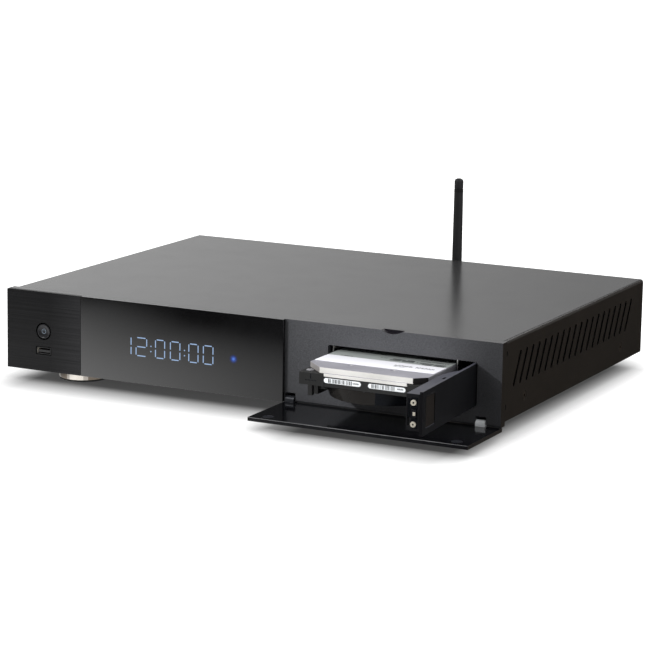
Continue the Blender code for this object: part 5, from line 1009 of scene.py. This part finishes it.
bm = bmesh.new()
strip(bm, 310.9, 341.2, 32.15, 35.85)
strip(bm, 347.0, 377.3, 32.15, 35.65)
finished("drive_stickers", bm, "drive", sticker_paper)
bars = []
for x, x_end, n in ((314.4, 333.4, 5), (349.8, 369.0, 77)):
    while x < x_end:
        n = next_draw(n)
        wide = (0.25, 0.45, 0.75, 0.3)[n % 4]
        bars.append(((x, -52.12, 32.45), (x + wide, CAST_FRONT, 35.5)))
        x += wide + (0.35, 0.6, 0.3, 0.95)[(n // 5) % 4]
for x0 in (334.6, 370.6):
    for i in range(7):
        x = x0 + i * 0.72
        bars.append(((x, -52.12, 33.5 - 0.05 * (i % 2)), (x + 0.42, CAST_FRONT, 34.5 + 0.1 * (i % 3))))
blocks("drive_sticker_bars", "drive", print_ink, bars)
# dark blocks on the casting's front: the two slits are painted shade, with a row of small dark squares
slit_shades = [((299.5, -52.06, 33.9), (300.15, -51.9, 37.6)), ((310.9, -52.05, 29.2), (311.2, -51.9, 36.2))]
slit_shades += [((295.2 + i * 1.2, -52.03, 32.4), (295.9 + i * 1.2, -51.9, 33.1)) for i in range(8)]
blocks("drive_casting_slit_shade", "drive", black_and_painted_shade, slit_shades)
dressed("drive_board", board_blue, 0.0)
dressed("drive_connector", socket_plastic, 0.0)
blocks("drive_contacts", "drive", gold,
       [((307.6 + i * 1.65, 89.2, 20.2), (308.3 + i * 1.65, 94.4, 20.45)) for i in range(22)])
CHIPS = ((318, 44, 14, 14), (338, 48, 9, 12), (356, 42, 8, 8), (370, 52, 7, 5), (325, 66, 12, 8),
         (350, 66, 6, 6))
blocks("drive_chips", "drive", chip_epoxy,
       [((x, y, 20.2), (x + w, y + l, 21.12)) for x, y, w, l in CHIPS], 0.15, 1)
print("drive dressed")

# %% [markdown]
# ## The rack
# Two bright sheet guides stand inside a folded cage and hold the drive by its sides. Behind them
# the backplane's socket waits for the drive's plug.

# %% Cage, guides and backplane
for name, mat, edge in (("rack_cage", cage_metal, 0.0), ("rack_guide_left", bright_steel, 0.12),
                        ("rack_guide_right", bright_steel, 0.12), ("backplane", board_green, 0.0),
                        ("backplane_socket", socket_plastic, 0.1)):
    dressed(name, mat, edge)
# small springs that hold the drive down
bm = bmesh.new()
for x, way in ((289.5, 1), (392.5, -1)):
    block(bm, (x - 0.2, 7.2, 46.2), (x + 0.2 + way * 1.6, 9.6, 46.6), 0.1)
    block(bm, (x - 0.3, 6.7, 44.6), (x + 0.3, 7.5, 47.8), 0.12)
finished("guide_springs", bm, "case", bright_steel)
blocks("backplane_contacts", "case", gold,
       [((308.0 + i * 1.65, 161.7, 20.9), (308.7 + i * 1.65, 168.5, 21.2)) for i in range(22)])

# %% [markdown]
# ## The feet
# Each foot is a turned aluminium ring round a rubber pad, with one shallow groove as a lathe tool
# leaves it. A turned ring mirrors what is round it in upright bands, so each of its faces takes
# one of four tones by the way it faces.

# %% Feet and pads
RING = [(0, -8.0), (17.2, -8.0), (17.2, -8.5), (17.6, -8.6), (19.0, -8.65), (19.7, -8.3), (20.0, -7.6),
        (20.0, -2.6), (19.8, -2.45), (19.8, -2.15), (20.0, -2.0), (20.0, 1.2), (19.7, 1.55), (0, 1.55)]
PAD = [(0, -8.4), (19.2, -8.4), (19.45, -8.7), (19.45, -9.6), (19.0, -9.97), (13.5, -9.97),
       (13.2, -9.5), (0, -9.5)]
BANDS = ((3, 74, 181), (2, 40, 74), (1, 31, 40), (1, -11, -3), (2, -36, -11), (1, -60, -36), (3, -181, -60))
for i, (x, y) in enumerate(((50, 36), (50, 275), (380, 36), (380, 275))):
    bm = bmesh.new()
    turned(bm, RING, (x, y, 0), "z", 96)
    ring = finished("foot_%d_turned" % (i + 1), bm, "case", [foot_metal, foot_mid, foot_brown, foot_dark])
    for face in ring.data.polygons:
        facing = math.degrees(math.atan2(face.normal.x, -face.normal.y))
        for slot, lo, hi in BANDS:
            if lo < facing <= hi:
                face.material_index = slot
    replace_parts(ring, "foot_%d" % (i + 1))
    bm = bmesh.new()
    turned(bm, PAD, (x, y, 0), "z", 72)
    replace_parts(finished("foot_pad_%d_moulded" % (i + 1), bm, "case", rubber), "foot_pad_%d" % (i + 1))
print("four feet and pads")

# %% [markdown]
# ## The rear
# Behind are the mains inlet, an optical output, a display socket, two stacked USB sockets, a network
# socket, six phono sockets and the aerial. Metal shells are plated, tongues are black plastic,
# contacts are gilt, and the phono sockets have the usual coloured rings.

# %% Sockets
dressed("optical_socket", socket_plastic, 0.2)
blocks("optical_shutter", "case", chip_epoxy, [((72.3, 308.6, 12.4), (77.5, 309.6, 17.6))], 0.3)
dressed("hdmi_socket", nickel, 0.0)
blocks("display_socket_tongue", "case", socket_plastic, [((103.2, 301.5, 12.9), (113.0, 310.6, 13.9))], 0.1)
bm = bmesh.new()
for i in range(10):
    block(bm, (103.8 + i * 0.9, 302.5, 13.85), (104.2 + i * 0.9, 310.4, 13.98))
for k in range(2):
    for i in range(4):
        block(bm, (138.6 + i * 2.1, 298.0, 13.4 + 8.2 * k), (139.5 + i * 2.1, 310.3, 13.52 + 8.2 * k))
for i in range(8):
    block(bm, (164.0 + i * 1.1, 299.0, 19.0), (164.45 + i * 1.1, 308.4, 19.35), 0.05, 1)
finished("rear_contacts", bm, "case", gold)
rear_usb = dressed("rear_usb", [nickel, usb_blue], 0.0)
repaint(rear_usb, 1, lambda c, n: abs(c.x - 142.0) < 5.3 and 297.2 < c.y < 310.9
        and (11.0 < c.z < 13.6 or 19.2 < c.z < 21.8))
lan = dressed("lan_socket", [nickel, socket_plastic], 0.15)
repaint(lan, 1, lambda c, n: abs(c.x - 168.0) < 6.2 and 296.5 < c.y < 310.9 and 12.2 < c.z < 20.6)
for name, x, resin in (("network_lamp_green", 161.3, lamp_green), ("network_lamp_amber", 172.0, lamp_amber)):
    blocks(name, "case", resin, [((x, 310.9, 21.6), (x + 2.7, 311.15, 22.9))], 0.1, 1)
dressed("audio_jacks", socket_plastic, 0.0)
JACK_RING = [(3.3, 310.5), (4.95, 310.5), (4.95, 311.4), (4.7, 311.7), (4.22, 311.75), (4.22, 310.5)]
JACK_BARREL = [(4.21, 311.8), (4.24, 319.0), (4.0, 319.38), (3.2, 319.38), (3.1, 319.0), (3.1, 317.6),
               (1.9, 317.5), (1.9, 318.6), (1.75, 318.6), (1.75, 312.0)]
TRIOS = (17.0, (ring_red, ring_white, ring_black)), (31.0, (ring_white, ring_red, ring_yellow))
for k, (z, trio) in enumerate(TRIOS):
    for i, colour in enumerate(trio):
        for kind, profile, mat in (("ring", JACK_RING, colour), ("barrel", JACK_BARREL, gold)):
            bm = bmesh.new()
            turned(bm, profile, (199.94 + 14 * i, 0, z), "y", 40)
            finished("phono_%s_%d_%d" % (kind, k, i), bm, "case", mat)

PINS = ((345.0, 30.4), (359.0, 30.4), (352.0, 35.6))
inlet = dressed("mains_inlet", [socket_plastic, nickel], 0.3)
repaint(inlet, 1, lambda c, n: 298.0 < c.y < 311.5 and (c.y > 311.0 or abs(n.y) < 0.5)
        and any(abs(c.x - x) < 1.3 and abs(c.z - z) < 2.3 for x, z in PINS))
dressed("antenna_jack", gold, 0.15)
dressed("antenna_pivot", screw_black, 0.0)
dressed("antenna_collar", rod_plastic, 0.35)
dressed("antenna_rod", rod_plastic, 0.25)
# two fine lines round the rod near its tip
bm = bmesh.new()
for low in (121.6, 123.3):
    turned(bm, [(3.9, low), (4.12, low), (4.12, low + 0.55), (3.9, low + 0.55), (3.9, low)],
           (249.6, 330.6, 0), "z", 40)
finished("antenna_rings", bm, "antenna", screw_black)
print("rear dressed")

# %% [markdown]
# ## Inside
# Boards, a heat sink and a transformer fill the case. The dark sheets of painted shade behind the
# slots hide most of them, so their parts stay simple: eased blocks for chips, turned cans for
# capacitors.

# %% Boards and their parts
for name, mat, edge in (("front_board", board_green, 0.0), ("main_board", board_green, 0.0),
                        ("power_board", board_tan, 0.0), ("heat_sink", sink_metal, 0.0),
                        ("power_transformer", tape_yellow, 0.4), ("status_led", led_resin, 0.15)):
    dressed(name, mat, edge)
CHIPS = ((60, 180, 18, 18, 1.2), (84, 176, 14, 9, 1.1), (84, 190, 14, 9, 1.1), (160, 176, 12, 12, 1.3),
         (180, 220, 20, 14, 1.4), (60, 230, 10, 22, 2.0), (215, 180, 14, 14, 1.3), (120, 270, 18, 6, 1.5))
blocks("board_chips", "case", chip_epoxy,
       [((x, y, 9.72), (x + w, y + l, 9.72 + h)) for x, y, w, l, h in CHIPS], 0.2, 1)
CANS = ((40, 160, 3.2, 8), (48, 160, 3.2, 8), (236, 160, 4, 10), (246, 170, 4, 10), (240, 250, 3.2, 8),
        (370, 234, 9, 24), (389, 234, 6, 20), (389, 262, 6, 20), (302, 262, 5, 14))
bm = bmesh.new()
for x, y, r, h in CANS:
    turned(bm, [(0, 9.75), (r, 9.75), (r, 10.6), (r - 0.3, 10.9), (r, 11.2), (r, 9.3 + h),
                (r - 0.4, 9.75 + h), (r - 0.9, 9.75 + h), (r - 1.0, 9.6 + h), (0, 9.6 + h)],
           (x, y, 0), "z", 24)
finished("board_capacitors", bm, "case", can_sleeve)
print("boards and their parts")
